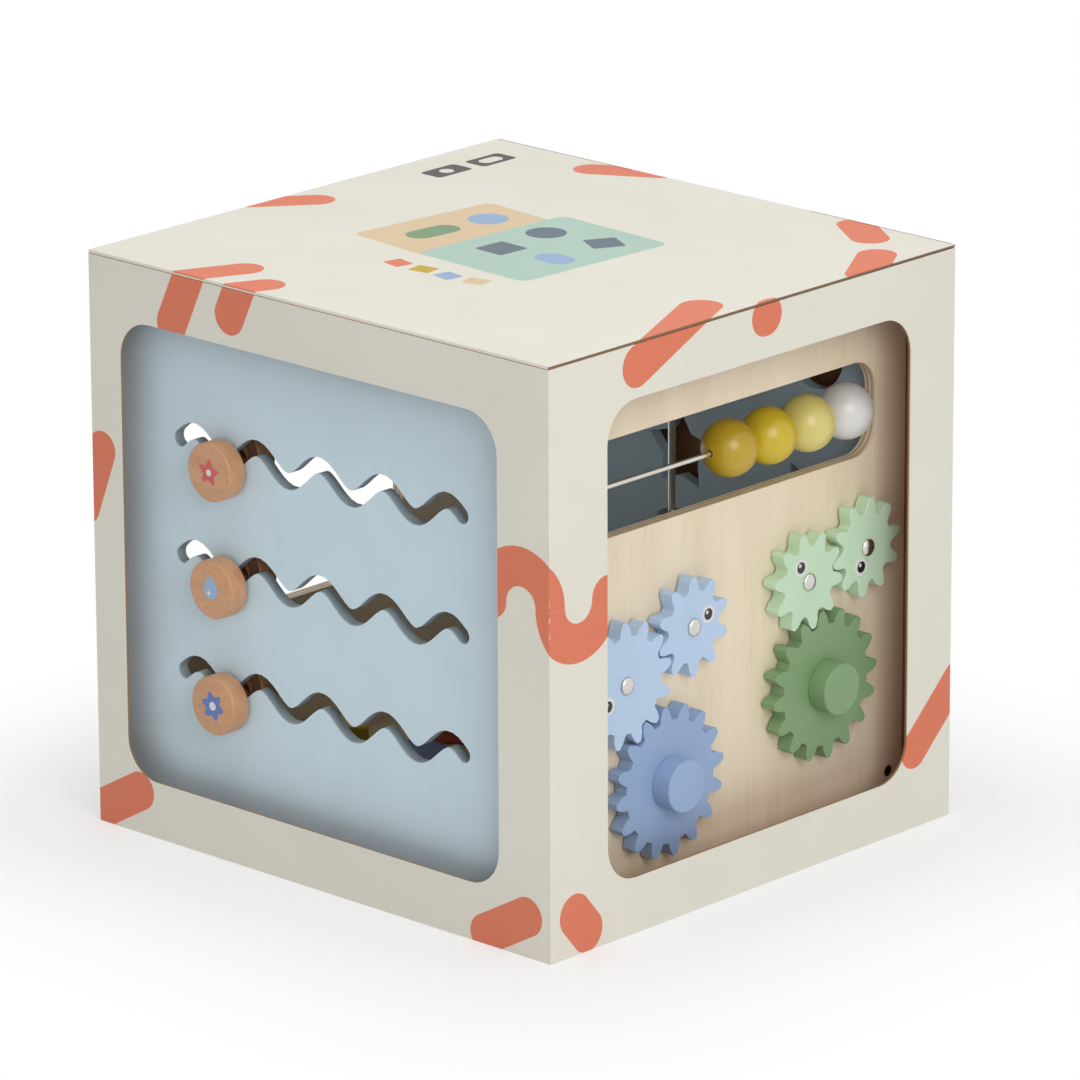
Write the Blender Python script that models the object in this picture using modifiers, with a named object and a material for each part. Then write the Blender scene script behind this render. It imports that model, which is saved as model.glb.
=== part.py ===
"""Wooden activity cube inside its windowed tuck-top carton, built piece by piece.

Metres, +Z up. The origin is under the middle of the carton. The front (-Y) shows the slot
panel, the right side (+X) shows the abacus and the gears.
"""
import math

import bmesh
import bpy
from mathutils import Matrix

# Clearances
GAP = 0.0003              # between pieces that touch
PIN_CLEARANCE = 0.0003    # round a pin in its hole
SHANK_CLEARANCE = 0.0003  # round a screw in its hole

# Toy body
TOY_WIDTH = 0.321         # along X
TOY_DEPTH = 0.313         # along Y
TOY_HEIGHT = 0.325        # along Z
PLY = 0.008               # plywood thickness
SIDE_OVERHANG = 0.008     # how far the side panels run past the back panel

# Wave slots in the front panel
SLOT_ROWS = 3
SLOT_ROW_SPACING = 0.0701
SLOT_TOP_ROW_DROP = 0.0883    # from the top of the toy to the middle of the top row
SLOT_PERIOD = 0.050
SLOT_CRESTS = 5
SLOT_AMPLITUDE = 0.0073
SLOT_WIDTH = 0.0098
SLOT_END_RUN = 0.0115         # how far the slot runs past its last crest
SLOT_STEPS_PER_PERIOD = 16

# Slider knobs that ride in the slots
SLIDER_RADIUS = 0.0175
SLIDER_THICKNESS = 0.0125
SLIDER_EDGE = 0.0012
SLIDER_STANDOFF = 0.0015      # from the panel to the back of the knob
STEM_RADIUS = 0.0024
STEM_HEAD_LIP = 0.0012        # how far the stem's head reaches past the keeper's bore
STEM_HEAD_THICKNESS = 0.0020
SLIDER_REST_ANGLE = 0.10      # how far along its wave the knob rests, past the lowest point
SLIDER_SAG = 0.0018           # how far the stem hangs below the slot's middle line
WASHER_RADIUS = 0.0160
WASHER_THICKNESS = 0.0012
KEEPER_RADIUS = 0.0170
KEEPER_THICKNESS = 0.0130
SLIDER_FRONT_CLEARANCE = 0.002    # from the knob to the carton's front wall

# Abacus window in the right panel
ABACUS_DROP = 0.0773          # from the top of the toy to the rod
ABACUS_HEIGHT = 0.057
ABACUS_END_MARGIN = 0.0188
ABACUS_CORNER = 0.018
ABACUS_ROD_RADIUS = 0.0016
ABACUS_ROD_SEAT = 0.008       # how deep each rod end sits in the panel
BEAD_COUNT = 4
BEAD_RADIUS = 0.0169
BEAD_LENGTH = 0.0330
BEAD_END_SPACE = 0.0053       # from the last bead to the end of the window
BEAD_BORE_CLEARANCE = 0.0005
BEAD_PITCH = BEAD_LENGTH + GAP    # beads rest against each other

# Gear trains on the right panel
GEAR_MODULE = 0.0052
GEAR_THICKNESS = 0.0093
GEAR_STANDOFF = 0.0012
GEAR_PRESSURE_ANGLE = math.radians(28.0)
GEAR_ADDENDUM = 0.68          # in modules
GEAR_DEDENDUM = 0.96          # in modules
GEAR_BACKLASH = 0.0010        # taken off each tooth's thickness
GEAR_FLANK_STEPS = 3
DRIVE_TEETH = 16
SMALL_TEETH = 10
BLUE_MIDDLE_TEETH = 13
GREEN_DRIVE_FROM_BACK = 0.0726
GREEN_DRIVE_HEIGHT = 0.0928
GREEN_MIDDLE_ANGLE = math.radians(103.1)
GREEN_END_ANGLE = math.radians(9.9)
GREEN_DRIVE_PHASE = math.radians(4.0)
BLUE_DRIVE_FROM_FRONT = 0.107
BLUE_DRIVE_HEIGHT = 0.0678
BLUE_MIDDLE_ANGLE = math.radians(118.8)
BLUE_END_ANGLE = math.radians(20.7)
BLUE_DRIVE_PHASE = math.radians(5.5)
DRIVE_KNOB_RADIUS = 0.0155
DRIVE_KNOB_HEIGHT = 0.013
DRIVE_KNOB_EDGE = 0.0015
DRIVE_KNOB_CLEARANCE = 0.0085     # from the knob to the carton's right wall
SPINDLE_RADIUS = 0.003
SPINDLE_KNOB_SEAT = 0.006     # how far the spindle reaches into the knob
SPINDLE_NUT_RADIUS = 0.008
SPINDLE_NUT_THICKNESS = 0.003
PIN_HEAD_RADIUS = 0.0052
PIN_HEAD_HEIGHT = 0.0022
PIN_HEAD_DOME = ((0.5, 0.9), (0.85, 0.55))    # points on the dome: shares of its radius and height

# Panel screws
SCREW_EDGE_DROP = 0.0204      # from the top or bottom of the toy to a screw in the back panel
SCREW_BASE_INSET = 0.060      # from the front or back of the toy to a screw in the base
SCREW_HEAD_RADIUS = 0.0034
SCREW_HEAD_HEIGHT = 0.0022
SCREW_RADIUS = 0.0018
SCREW_LENGTH = 0.030
SCREW_SINK = 0.0003           # how far the head sits under the face

# Shape sorter in the back panel, and the blocks that fit it
SHAPE_SIZE = 0.044
BLOCK_SLACK = 0.004           # a block is this much smaller than its hole
BLOCK_LENGTH = 0.040
STAR_POINTS = 5
STAR_WAIST = 0.58             # inner radius as a share of the outer one
STAR_REACH = 1.15             # reach of the points, as a share of half the shape size
TRIANGLE_REACH = 1.2          # the same for the triangle
SQUARE_CORNER = 0.1           # corner radius as a share of the shape size
SHAPE_PLACES = {              # from the middle of the panel and from the base
    "star": (-0.0005, 0.1847),
    "triangle": (0.0995, 0.1727),
    "round": (0.1045, 0.2657),
    "square": (-0.0805, 0.2597),
}
BLOCK_PLACES = {              # from the middle of the toy
    "star": (-0.085, -0.060),
    "triangle": (-0.085, 0.055),
    "round": (-0.015, -0.065),
    "square": (-0.015, 0.050),
}
TAKE_OUT_WIDTH = 0.185        # opening in the left panel
TAKE_OUT_HEIGHT = 0.136
TAKE_OUT_CORNER = 0.020
TAKE_OUT_PLACE = (-0.024, 0.0072)    # its middle, along Y and Z from the middle of the toy

# Tie rod inside, from the base to the top
TIE_ROD_RADIUS = 0.0023
TIE_ROD_PLACE = (0.0398, 0.0965)
TIE_ROD_SEAT = 0.005
TIE_COLLAR_RADIUS = 0.009
TIE_COLLAR_HEIGHT = 0.006
TIE_COLLAR_LEVEL = 0.1610     # above the bottom of the toy

# Carton
BOARD = 0.002                 # board thickness
CARTON_SIDE_SPACE = 0.003     # left of the toy
CARTON_BACK_SPACE = 0.009     # behind the toy
CARTON_TOP_SPACE = 0.0167     # above the toy
FRONT_STRIP_LEFT = 0.0244
FRONT_STRIP_RIGHT = 0.0392
FRONT_STRIP_BOTTOM = 0.034
FRONT_STRIP_TOP = 0.0363
SIDE_STRIP_FRONT = 0.0472
SIDE_STRIP_BACK = 0.0384
SIDE_STRIP_BOTTOM = 0.033
SIDE_STRIP_TOP = 0.0333
WINDOW_CORNER = 0.023
DUST_FLAP_LENGTH = 0.095
DUST_FLAP_FRONT_SPACE = 0.014
DUST_FLAP_BACK_SPACE = 0.020
TUCK_LENGTH = 0.0155
TUCK_TILT = math.radians(6.0)
TUCK_WALL_GAP = 0.0006
TUCK_END_SPACE = 0.012

# Facets round curved faces
WINDOW_STEPS = 8              # in each quarter corner of a window
SQUARE_STEPS = 4              # in each quarter corner of the square shape
SLOT_END_STEPS = 8
SHAPE_STEPS = 32
SLIDER_STEPS = 28
WASHER_STEPS = 24
BEAD_STEPS = 20
BEAD_PROFILE_STEPS = 11
DRIVE_KNOB_STEPS = 32
ROD_STEPS = 16                # rods, pins, spindles and their holes
SCREW_STEPS = 12
SHARP_ANGLE = math.radians(35.0)
WELD_DISTANCE = 1e-6          # joins the points of a filled outline
TURN_WELD_DISTANCE = 1e-5     # joins the points of a turned profile on its axis

# Worked out from the sizes above
FRONT_SPACE = SLIDER_STANDOFF + SLIDER_THICKNESS + SLIDER_FRONT_CLEARANCE
GEAR_SPACE = GEAR_STANDOFF + GEAR_THICKNESS + DRIVE_KNOB_HEIGHT + DRIVE_KNOB_CLEARANCE
CARTON_WIDTH = 2 * BOARD + CARTON_SIDE_SPACE + TOY_WIDTH + GEAR_SPACE
CARTON_DEPTH = 2 * BOARD + FRONT_SPACE + TOY_DEPTH + CARTON_BACK_SPACE
TOY_BOTTOM = BOARD + GAP
TOY_TOP = TOY_BOTTOM + TOY_HEIGHT
LID_UNDERSIDE = TOY_TOP + CARTON_TOP_SPACE
CARTON_HEIGHT = LID_UNDERSIDE + BOARD
WALL_TOP = LID_UNDERSIDE - GAP
TOY_LEFT = -CARTON_WIDTH / 2 + BOARD + CARTON_SIDE_SPACE
TOY_RIGHT = TOY_LEFT + TOY_WIDTH
TOY_FRONT = -CARTON_DEPTH / 2 + BOARD + FRONT_SPACE
TOY_BACK = TOY_FRONT + TOY_DEPTH
TOY_MID_X = (TOY_LEFT + TOY_RIGHT) / 2
TOY_MID_Y = (TOY_FRONT + TOY_BACK) / 2
TOY_MID_Z = (TOY_BOTTOM + TOY_TOP) / 2
INNER_LEFT = TOY_LEFT + PLY
INNER_RIGHT = TOY_RIGHT - PLY
INNER_FRONT = TOY_FRONT + PLY
INNER_BACK = TOY_BACK - PLY
SIDE_FRONT = INNER_FRONT + GAP        # where the side panels start, behind the front panel
SIDE_MID_Y = (SIDE_FRONT + TOY_BACK) / 2
GEAR_FRONT = TOY_RIGHT + GEAR_STANDOFF + GEAR_THICKNESS
WINDOW_CUT_DEPTH = 4 * BOARD          # of the cutters, which go right through the board

# Facing: each turns a flat outline, or a piece turned about Z, to its side of the toy
FACING_FRONT = Matrix.Rotation(math.pi / 2, 4, "X")
FACING_RIGHT = Matrix.Rotation(math.pi / 2, 4, "Z") @ Matrix.Rotation(math.pi / 2, 4, "X")
FACING_LEFT = Matrix.Rotation(-math.pi / 2, 4, "Z") @ Matrix.Rotation(math.pi / 2, 4, "X")
FACING_UP = Matrix.Identity(4)

# Finishes: colour, roughness, metallic
CARD = ((0.76, 0.74, 0.66), 0.75, 0.0)
BIRCH = ((0.76, 0.62, 0.43), 0.55, 0.0)
BEECH = ((0.58, 0.33, 0.18), 0.5, 0.0)
PALE_BLUE_PAINT = ((0.44, 0.57, 0.65), 0.5, 0.0)
SLATE_PAINT = ((0.36, 0.46, 0.56), 0.6, 0.0)
STEEL = ((0.72, 0.72, 0.70), 0.25, 1.0)
DARK_STEEL = ((0.08, 0.075, 0.07), 0.45, 1.0)
FELT = ((0.17, 0.085, 0.04), 0.9, 0.0)
LIGHT_GREEN = ((0.48, 0.66, 0.46), 0.5, 0.0)
DARK_GREEN = ((0.22, 0.38, 0.20), 0.5, 0.0)
LIGHT_BLUE = ((0.40, 0.58, 0.80), 0.5, 0.0)
MID_BLUE = ((0.22, 0.36, 0.66), 0.5, 0.0)
BEAD_COLOURS = (
    (0.62, 0.42, 0.05),
    (0.74, 0.55, 0.08),
    (0.78, 0.68, 0.28),
    (0.82, 0.80, 0.75),
)
BEAD_ROUGHNESS = 0.35
BLOCK_ROUGHNESS = 0.45
BLOCK_COLOURS = {
    "star": (0.70, 0.50, 0.08),
    "triangle": (0.55, 0.17, 0.10),
    "round": (0.20, 0.33, 0.60),
    "square": (0.40, 0.58, 0.42),
}

PARTS_NAME = "activity_cube"
CUTTERS_NAME = "activity_cube_cutters"


def start_scene():
    """Remove what the scene holds and make the two collections."""
    for obj in list(bpy.data.objects):
        bpy.data.objects.remove(obj, do_unlink=True)
    for name in (PARTS_NAME, CUTTERS_NAME):
        collection = bpy.data.collections.new(name)
        bpy.context.scene.collection.children.link(collection)


def finish_with(obj, finish):
    """Give a piece its own material."""
    colour, roughness, metallic = finish
    material = bpy.data.materials.new(obj.name)
    material.use_nodes = True
    shader = material.node_tree.nodes["Principled BSDF"]
    shader.inputs["Base Color"].default_value = (*colour, 1.0)
    shader.inputs["Roughness"].default_value = roughness
    shader.inputs["Metallic"].default_value = metallic
    obj.data.materials.clear()
    obj.data.materials.append(material)


def add_part(name, mesh, place, finish):
    """Link a mesh as a named piece at a place."""
    obj = bpy.data.objects.new(name, mesh)
    obj.matrix_world = place
    bpy.data.collections[PARTS_NAME].objects.link(obj)
    finish_with(obj, finish)
    return obj


def add_cutter(name, mesh, place):
    """Link a mesh as a hidden cutter."""
    obj = bpy.data.objects.new(name, mesh)
    obj.matrix_world = place
    obj.hide_render = True
    obj.display_type = "WIRE"
    bpy.data.collections[CUTTERS_NAME].objects.link(obj)
    return obj


def cut(part, cutter):
    """Take a cutter out of a piece."""
    modifier = part.modifiers.new(cutter.name, "BOOLEAN")
    modifier.operation = "DIFFERENCE"
    modifier.solver = "EXACT"
    modifier.object = cutter


def at(x, y, z, facing=FACING_UP):
    """Place a piece, turned to its side of the toy."""
    return Matrix.Translation((x, y, z)) @ facing


def arc(centre_x, centre_y, radius, start, end, steps):
    """Points along an arc, both ends included."""
    points = []
    for step in range(steps + 1):
        angle = start + (end - start) * step / steps
        points.append((centre_x + radius * math.cos(angle), centre_y + radius * math.sin(angle)))
    return points


def circle(centre_x, centre_y, radius, steps):
    """A closed round outline."""
    return arc(centre_x, centre_y, radius, 0.0, 2 * math.pi, steps)[:-1]


def rectangle(low_x, low_y, high_x, high_y):
    """A closed rectangular outline."""
    return [(low_x, low_y), (high_x, low_y), (high_x, high_y), (low_x, high_y)]


def rounded_rectangle(low_x, low_y, high_x, high_y, radius, steps):
    """A closed rectangular outline with round corners."""
    corners = (
        (high_x - radius, high_y - radius, 0.0),
        (low_x + radius, high_y - radius, 0.5 * math.pi),
        (low_x + radius, low_y + radius, math.pi),
        (high_x - radius, low_y + radius, 1.5 * math.pi),
    )
    points = []
    for centre_x, centre_y, start in corners:
        points += arc(centre_x, centre_y, radius, start, start + 0.5 * math.pi, steps)
    return points


def flat_mesh(name, outlines, thickness):
    """A flat plate from closed outlines, the inner ones being holes, centred on its own plane."""
    curve = bpy.data.curves.new(name, "CURVE")
    curve.dimensions = "2D"
    curve.fill_mode = "BOTH"
    curve.extrude = thickness / 2
    for outline in outlines:
        spline = curve.splines.new("POLY")
        spline.points.add(len(outline) - 1)
        for point, (x, y) in zip(spline.points, outline):
            point.co = (x, y, 0.0, 1.0)
        spline.use_cyclic_u = True
    source = bpy.data.objects.new(name, curve)
    bpy.context.scene.collection.objects.link(source)
    depsgraph = bpy.context.evaluated_depsgraph_get()
    mesh = bpy.data.meshes.new_from_object(source.evaluated_get(depsgraph))
    bpy.data.objects.remove(source, do_unlink=True)
    bpy.data.curves.remove(curve)
    weld = bmesh.new()
    weld.from_mesh(mesh)
    bmesh.ops.remove_doubles(weld, verts=weld.verts, dist=WELD_DISTANCE)
    weld.to_mesh(mesh)
    weld.free()
    mesh.name = name
    return mesh


def box_mesh(name, size_x, size_y, size_z):
    """A plain box about its own middle."""
    mesh = bpy.data.meshes.new(name)
    shape = bmesh.new()
    bmesh.ops.create_cube(shape, size=1.0)
    bmesh.ops.scale(shape, vec=(size_x, size_y, size_z), verts=shape.verts)
    shape.to_mesh(mesh)
    shape.free()
    return mesh


def rod_mesh(name, radius, length, steps):
    """A plain round rod about its own middle, along Z."""
    mesh = bpy.data.meshes.new(name)
    shape = bmesh.new()
    bmesh.ops.create_cone(
        shape, cap_ends=True, segments=steps, radius1=radius, radius2=radius, depth=length
    )
    shape.to_mesh(mesh)
    shape.free()
    return mesh


def turn(part, steps):
    """Turn a piece's profile about its own Z axis."""
    screw = part.modifiers.new("Turned", "SCREW")
    screw.axis = "Z"
    screw.angle = 2 * math.pi
    screw.steps = steps
    screw.render_steps = steps
    screw.use_merge_vertices = True
    screw.merge_threshold = TURN_WELD_DISTANCE


def profile_mesh(name, points, closed=False):
    """A profile at +X, listed from the top down its outer side."""
    mesh = bpy.data.meshes.new(name)
    edges = [(index, index + 1) for index in range(len(points) - 1)]
    if closed:
        edges.append((len(points) - 1, 0))
    mesh.from_pydata([(radius, 0.0, height) for radius, height in points], edges, [])
    return mesh


def build_carton_sleeve():
    """The four walls, with a window in the front and one in each side."""
    left = -CARTON_WIDTH / 2
    right = CARTON_WIDTH / 2
    front = -CARTON_DEPTH / 2
    back = CARTON_DEPTH / 2
    outer = rectangle(left, front, right, back)
    inner = rectangle(left + BOARD, front + BOARD, right - BOARD, back - BOARD)
    mesh = flat_mesh("carton_sleeve", [outer, inner], WALL_TOP)
    sleeve = add_part("carton_sleeve", mesh, at(0, 0, WALL_TOP / 2), CARD)
    front_outline = rounded_rectangle(
        left + FRONT_STRIP_LEFT,
        FRONT_STRIP_BOTTOM,
        right - FRONT_STRIP_RIGHT,
        CARTON_HEIGHT - FRONT_STRIP_TOP,
        WINDOW_CORNER,
        WINDOW_STEPS,
    )
    side_outline = rounded_rectangle(
        front + SIDE_STRIP_FRONT,
        SIDE_STRIP_BOTTOM,
        back - SIDE_STRIP_BACK,
        CARTON_HEIGHT - SIDE_STRIP_TOP,
        WINDOW_CORNER,
        WINDOW_STEPS,
    )
    window_mesh = flat_mesh("front_window", [front_outline], WINDOW_CUT_DEPTH)
    cut(sleeve, add_cutter("front_window", window_mesh, at(0, front, 0, FACING_FRONT)))
    for name, wall_x in (("right_window", right), ("left_window", left)):
        window_mesh = flat_mesh(name, [side_outline], WINDOW_CUT_DEPTH)
        cut(sleeve, add_cutter(name, window_mesh, at(wall_x, 0, 0, FACING_RIGHT)))


def build_carton_ends():
    """The bottom, and the lid with its tuck flap and the two dust flaps under it."""
    inside_x = CARTON_WIDTH / 2 - BOARD - GAP
    inside_y = CARTON_DEPTH / 2 - BOARD - GAP
    mesh = box_mesh("carton_bottom", 2 * inside_x, 2 * inside_y, BOARD)
    add_part("carton_bottom", mesh, at(0, 0, BOARD / 2), CARD)

    lid_hinge = bpy.data.objects.new("lid_hinge", None)
    lid_hinge.location = (0, -CARTON_DEPTH / 2, LID_UNDERSIDE)
    bpy.data.collections[PARTS_NAME].objects.link(lid_hinge)
    mesh = box_mesh("carton_lid", CARTON_WIDTH, CARTON_DEPTH, BOARD)
    lid = add_part("carton_lid", mesh, at(0, CARTON_DEPTH / 2, BOARD / 2), CARD)
    lid.parent = lid_hinge

    tuck_width = CARTON_WIDTH - 2 * (BOARD + TUCK_END_SPACE)
    mesh = box_mesh("lid_tuck_flap", tuck_width, BOARD, TUCK_LENGTH)
    mesh.transform(Matrix.Translation((0, -BOARD / 2, -TUCK_LENGTH / 2)))
    tuck_y = CARTON_DEPTH / 2 - BOARD - TUCK_WALL_GAP
    place = at(0, tuck_y, LID_UNDERSIDE - GAP) @ Matrix.Rotation(-TUCK_TILT, 4, "X")
    add_part("lid_tuck_flap", mesh, place, CARD)

    front = -CARTON_DEPTH / 2 + BOARD + DUST_FLAP_FRONT_SPACE
    back = CARTON_DEPTH / 2 - BOARD - DUST_FLAP_BACK_SPACE
    for side, name in ((1, "dust_flap_left"), (-1, "dust_flap_right")):
        outline = [
            (0, front),
            (side * DUST_FLAP_LENGTH, front + DUST_FLAP_LENGTH),
            (side * DUST_FLAP_LENGTH, back),
            (0, back),
        ]
        mesh = flat_mesh(name, [outline], BOARD)
        mesh.transform(Matrix.Translation((0, 0, -BOARD / 2)))
        add_part(name, mesh, at(-side * inside_x, 0, WALL_TOP), CARD)


def wave_point(along, offset):
    """A point beside the slot's middle line: along runs from its middle, offset is sideways."""
    wave = 2 * math.pi / SLOT_PERIOD
    height = SLOT_AMPLITUDE * math.cos(wave * along)
    slope = -SLOT_AMPLITUDE * wave * math.sin(wave * along)
    length = math.hypot(1.0, slope)
    return (along - offset * slope / length, height + offset / length)


def slot_outline(middle_x, middle_y):
    """The outline of one wave slot with round ends."""
    half_run = (SLOT_CRESTS - 1) * SLOT_PERIOD / 2 + SLOT_END_RUN
    steps = round(2 * half_run / SLOT_PERIOD * SLOT_STEPS_PER_PERIOD)
    runs = [-half_run + 2 * half_run * step / steps for step in range(steps + 1)]
    half_width = SLOT_WIDTH / 2
    wave = 2 * math.pi / SLOT_PERIOD
    end_height = SLOT_AMPLITUDE * math.cos(wave * half_run)
    end_turn = math.atan(-SLOT_AMPLITUDE * wave * math.sin(wave * half_run))
    points = [wave_point(run, -half_width) for run in runs]
    start = end_turn - math.pi / 2
    points += arc(half_run, end_height, half_width, start, start + math.pi, SLOT_END_STEPS)[1:-1]
    points += [wave_point(run, half_width) for run in reversed(runs)]
    start = math.pi / 2 - end_turn
    points += arc(-half_run, end_height, half_width, start, start + math.pi, SLOT_END_STEPS)[1:-1]
    return [(middle_x + x, middle_y + y) for x, y in points]


def slot_height(row):
    """The height of a slot row's middle line."""
    return TOY_TOP - SLOT_TOP_ROW_DROP - row * SLOT_ROW_SPACING


def shape_outline(shape, size):
    """The outline of one sorter shape about its own middle."""
    radius = size / 2
    if shape == "round":
        return circle(0, 0, radius, SHAPE_STEPS)
    if shape == "square":
        corner = size * SQUARE_CORNER
        return rounded_rectangle(-radius, -radius, radius, radius, corner, SQUARE_STEPS)
    if shape == "triangle":
        return circle(0, 0, radius * TRIANGLE_REACH, 3)
    points = []
    for index in range(2 * STAR_POINTS):
        reach = radius * STAR_REACH * (1.0 if index % 2 == 0 else STAR_WAIST)
        angle = math.pi / 2 + index * math.pi / STAR_POINTS
        points.append((reach * math.cos(angle), reach * math.sin(angle)))
    return points


def build_wall_panels():
    """The front panel with its slots, the back panel with its sorter holes, top and base."""
    outlines = [rectangle(TOY_LEFT, TOY_BOTTOM, TOY_RIGHT, TOY_TOP)]
    for row in range(SLOT_ROWS):
        outlines.append(slot_outline(TOY_MID_X, slot_height(row)))
    mesh = flat_mesh("front_panel", outlines, PLY)
    add_part("front_panel", mesh, at(0, TOY_FRONT + PLY / 2, 0, FACING_FRONT), PALE_BLUE_PAINT)

    outlines = [rectangle(INNER_LEFT + GAP, TOY_BOTTOM, INNER_RIGHT - GAP, TOY_TOP)]
    for shape, (along, height) in SHAPE_PLACES.items():
        middle_x = TOY_MID_X + along
        middle_z = TOY_BOTTOM + height
        outline = shape_outline(shape, SHAPE_SIZE)
        outlines.append([(middle_x + x, middle_z + z) for x, z in outline])
    mesh = flat_mesh("back_panel", outlines, PLY)
    back = add_part("back_panel", mesh, at(0, TOY_BACK - PLY / 2, 0, FACING_FRONT), SLATE_PAINT)

    size_x = INNER_RIGHT - INNER_LEFT - 2 * GAP
    size_y = INNER_BACK - INNER_FRONT - 2 * GAP
    tie_x = TOY_MID_X + TIE_ROD_PLACE[0]
    tie_y = TOY_MID_Y + TIE_ROD_PLACE[1]
    hole_radius = TIE_ROD_RADIUS + PIN_CLEARANCE
    panels = {"back_panel": back}
    for name, level in (("base_panel", TOY_BOTTOM + PLY / 2), ("top_panel", TOY_TOP - PLY / 2)):
        mesh = box_mesh(name, size_x, size_y, PLY)
        panel = add_part(name, mesh, at(TOY_MID_X, TOY_MID_Y, level), BIRCH)
        panels[name] = panel
        inner_side = 1 if name == "base_panel" else -1
        hole_level = level + inner_side * PLY / 2
        hole_length = 2 * (TIE_ROD_SEAT + PIN_CLEARANCE)
        hole_mesh = rod_mesh(f"{name}_tie_hole", hole_radius, hole_length, ROD_STEPS)
        cut(panel, add_cutter(f"{name}_tie_hole", hole_mesh, at(tie_x, tie_y, hole_level)))
    return panels


def gear_centres():
    """Where each gear turns: its tooth count, place on the panel and first tooth's direction."""

    def after(gear, teeth, angle):
        gear_teeth, gear_y, gear_z, gear_phase = gear
        reach = GEAR_MODULE * (gear_teeth + teeth) / 2
        ratio = gear_teeth / teeth
        phase = angle + math.pi + math.pi / teeth - (gear_phase - angle) * ratio
        return (teeth, gear_y + reach * math.cos(angle), gear_z + reach * math.sin(angle), phase)

    green_drive = (
        DRIVE_TEETH,
        TOY_BACK - GREEN_DRIVE_FROM_BACK,
        TOY_BOTTOM + GREEN_DRIVE_HEIGHT,
        GREEN_DRIVE_PHASE,
    )
    blue_drive = (
        DRIVE_TEETH,
        TOY_FRONT + BLUE_DRIVE_FROM_FRONT,
        TOY_BOTTOM + BLUE_DRIVE_HEIGHT,
        BLUE_DRIVE_PHASE,
    )
    green_middle = after(green_drive, SMALL_TEETH, GREEN_MIDDLE_ANGLE)
    blue_middle = after(blue_drive, BLUE_MIDDLE_TEETH, BLUE_MIDDLE_ANGLE)
    return {
        "green_drive": green_drive,
        "green_middle": green_middle,
        "green_end": after(green_middle, SMALL_TEETH, GREEN_END_ANGLE),
        "blue_drive": blue_drive,
        "blue_middle": blue_middle,
        "blue_end": after(blue_middle, SMALL_TEETH, BLUE_END_ANGLE),
    }


def abacus_span():
    """The front and back ends of the abacus window."""
    return SIDE_FRONT + ABACUS_END_MARGIN, TOY_BACK - ABACUS_END_MARGIN


def build_side_panels():
    """The right panel with the abacus window and gear holes, and the left panel."""
    rod_height = TOY_TOP - ABACUS_DROP
    abacus_front, abacus_back = abacus_span()
    outlines = [rectangle(SIDE_FRONT, TOY_BOTTOM, TOY_BACK + SIDE_OVERHANG, TOY_TOP)]
    outlines.append(
        rounded_rectangle(
            abacus_front,
            rod_height - ABACUS_HEIGHT / 2,
            abacus_back,
            rod_height + ABACUS_HEIGHT / 2,
            ABACUS_CORNER,
            WINDOW_STEPS,
        )
    )
    for _, gear_y, gear_z, _ in gear_centres().values():
        outlines.append(circle(gear_y, gear_z, SPINDLE_RADIUS + PIN_CLEARANCE, ROD_STEPS))
    mesh = flat_mesh("right_panel", outlines, PLY)
    right = add_part("right_panel", mesh, at(TOY_RIGHT - PLY / 2, 0, 0, FACING_RIGHT), BIRCH)
    bore_length = abacus_back - abacus_front + 2 * (ABACUS_ROD_SEAT + PIN_CLEARANCE)
    bore_radius = ABACUS_ROD_RADIUS + PIN_CLEARANCE
    bore_mesh = rod_mesh("abacus_rod_bore", bore_radius, bore_length, ROD_STEPS)
    bore_place = at(TOY_RIGHT - PLY / 2, SIDE_MID_Y, rod_height, FACING_FRONT)
    cut(right, add_cutter("abacus_rod_bore", bore_mesh, bore_place))

    outlines = [rectangle(-TOY_BACK - SIDE_OVERHANG, TOY_BOTTOM, -SIDE_FRONT, TOY_TOP)]
    opening_y = -TOY_MID_Y - TAKE_OUT_PLACE[0]
    opening_z = TOY_MID_Z + TAKE_OUT_PLACE[1]
    outlines.append(
        rounded_rectangle(
            opening_y - TAKE_OUT_WIDTH / 2,
            opening_z - TAKE_OUT_HEIGHT / 2,
            opening_y + TAKE_OUT_WIDTH / 2,
            opening_z + TAKE_OUT_HEIGHT / 2,
            TAKE_OUT_CORNER,
            WINDOW_STEPS,
        )
    )
    mesh = flat_mesh("left_panel", outlines, PLY)
    left = add_part("left_panel", mesh, at(TOY_LEFT + PLY / 2, 0, 0, FACING_LEFT), BIRCH)
    return right, left


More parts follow.
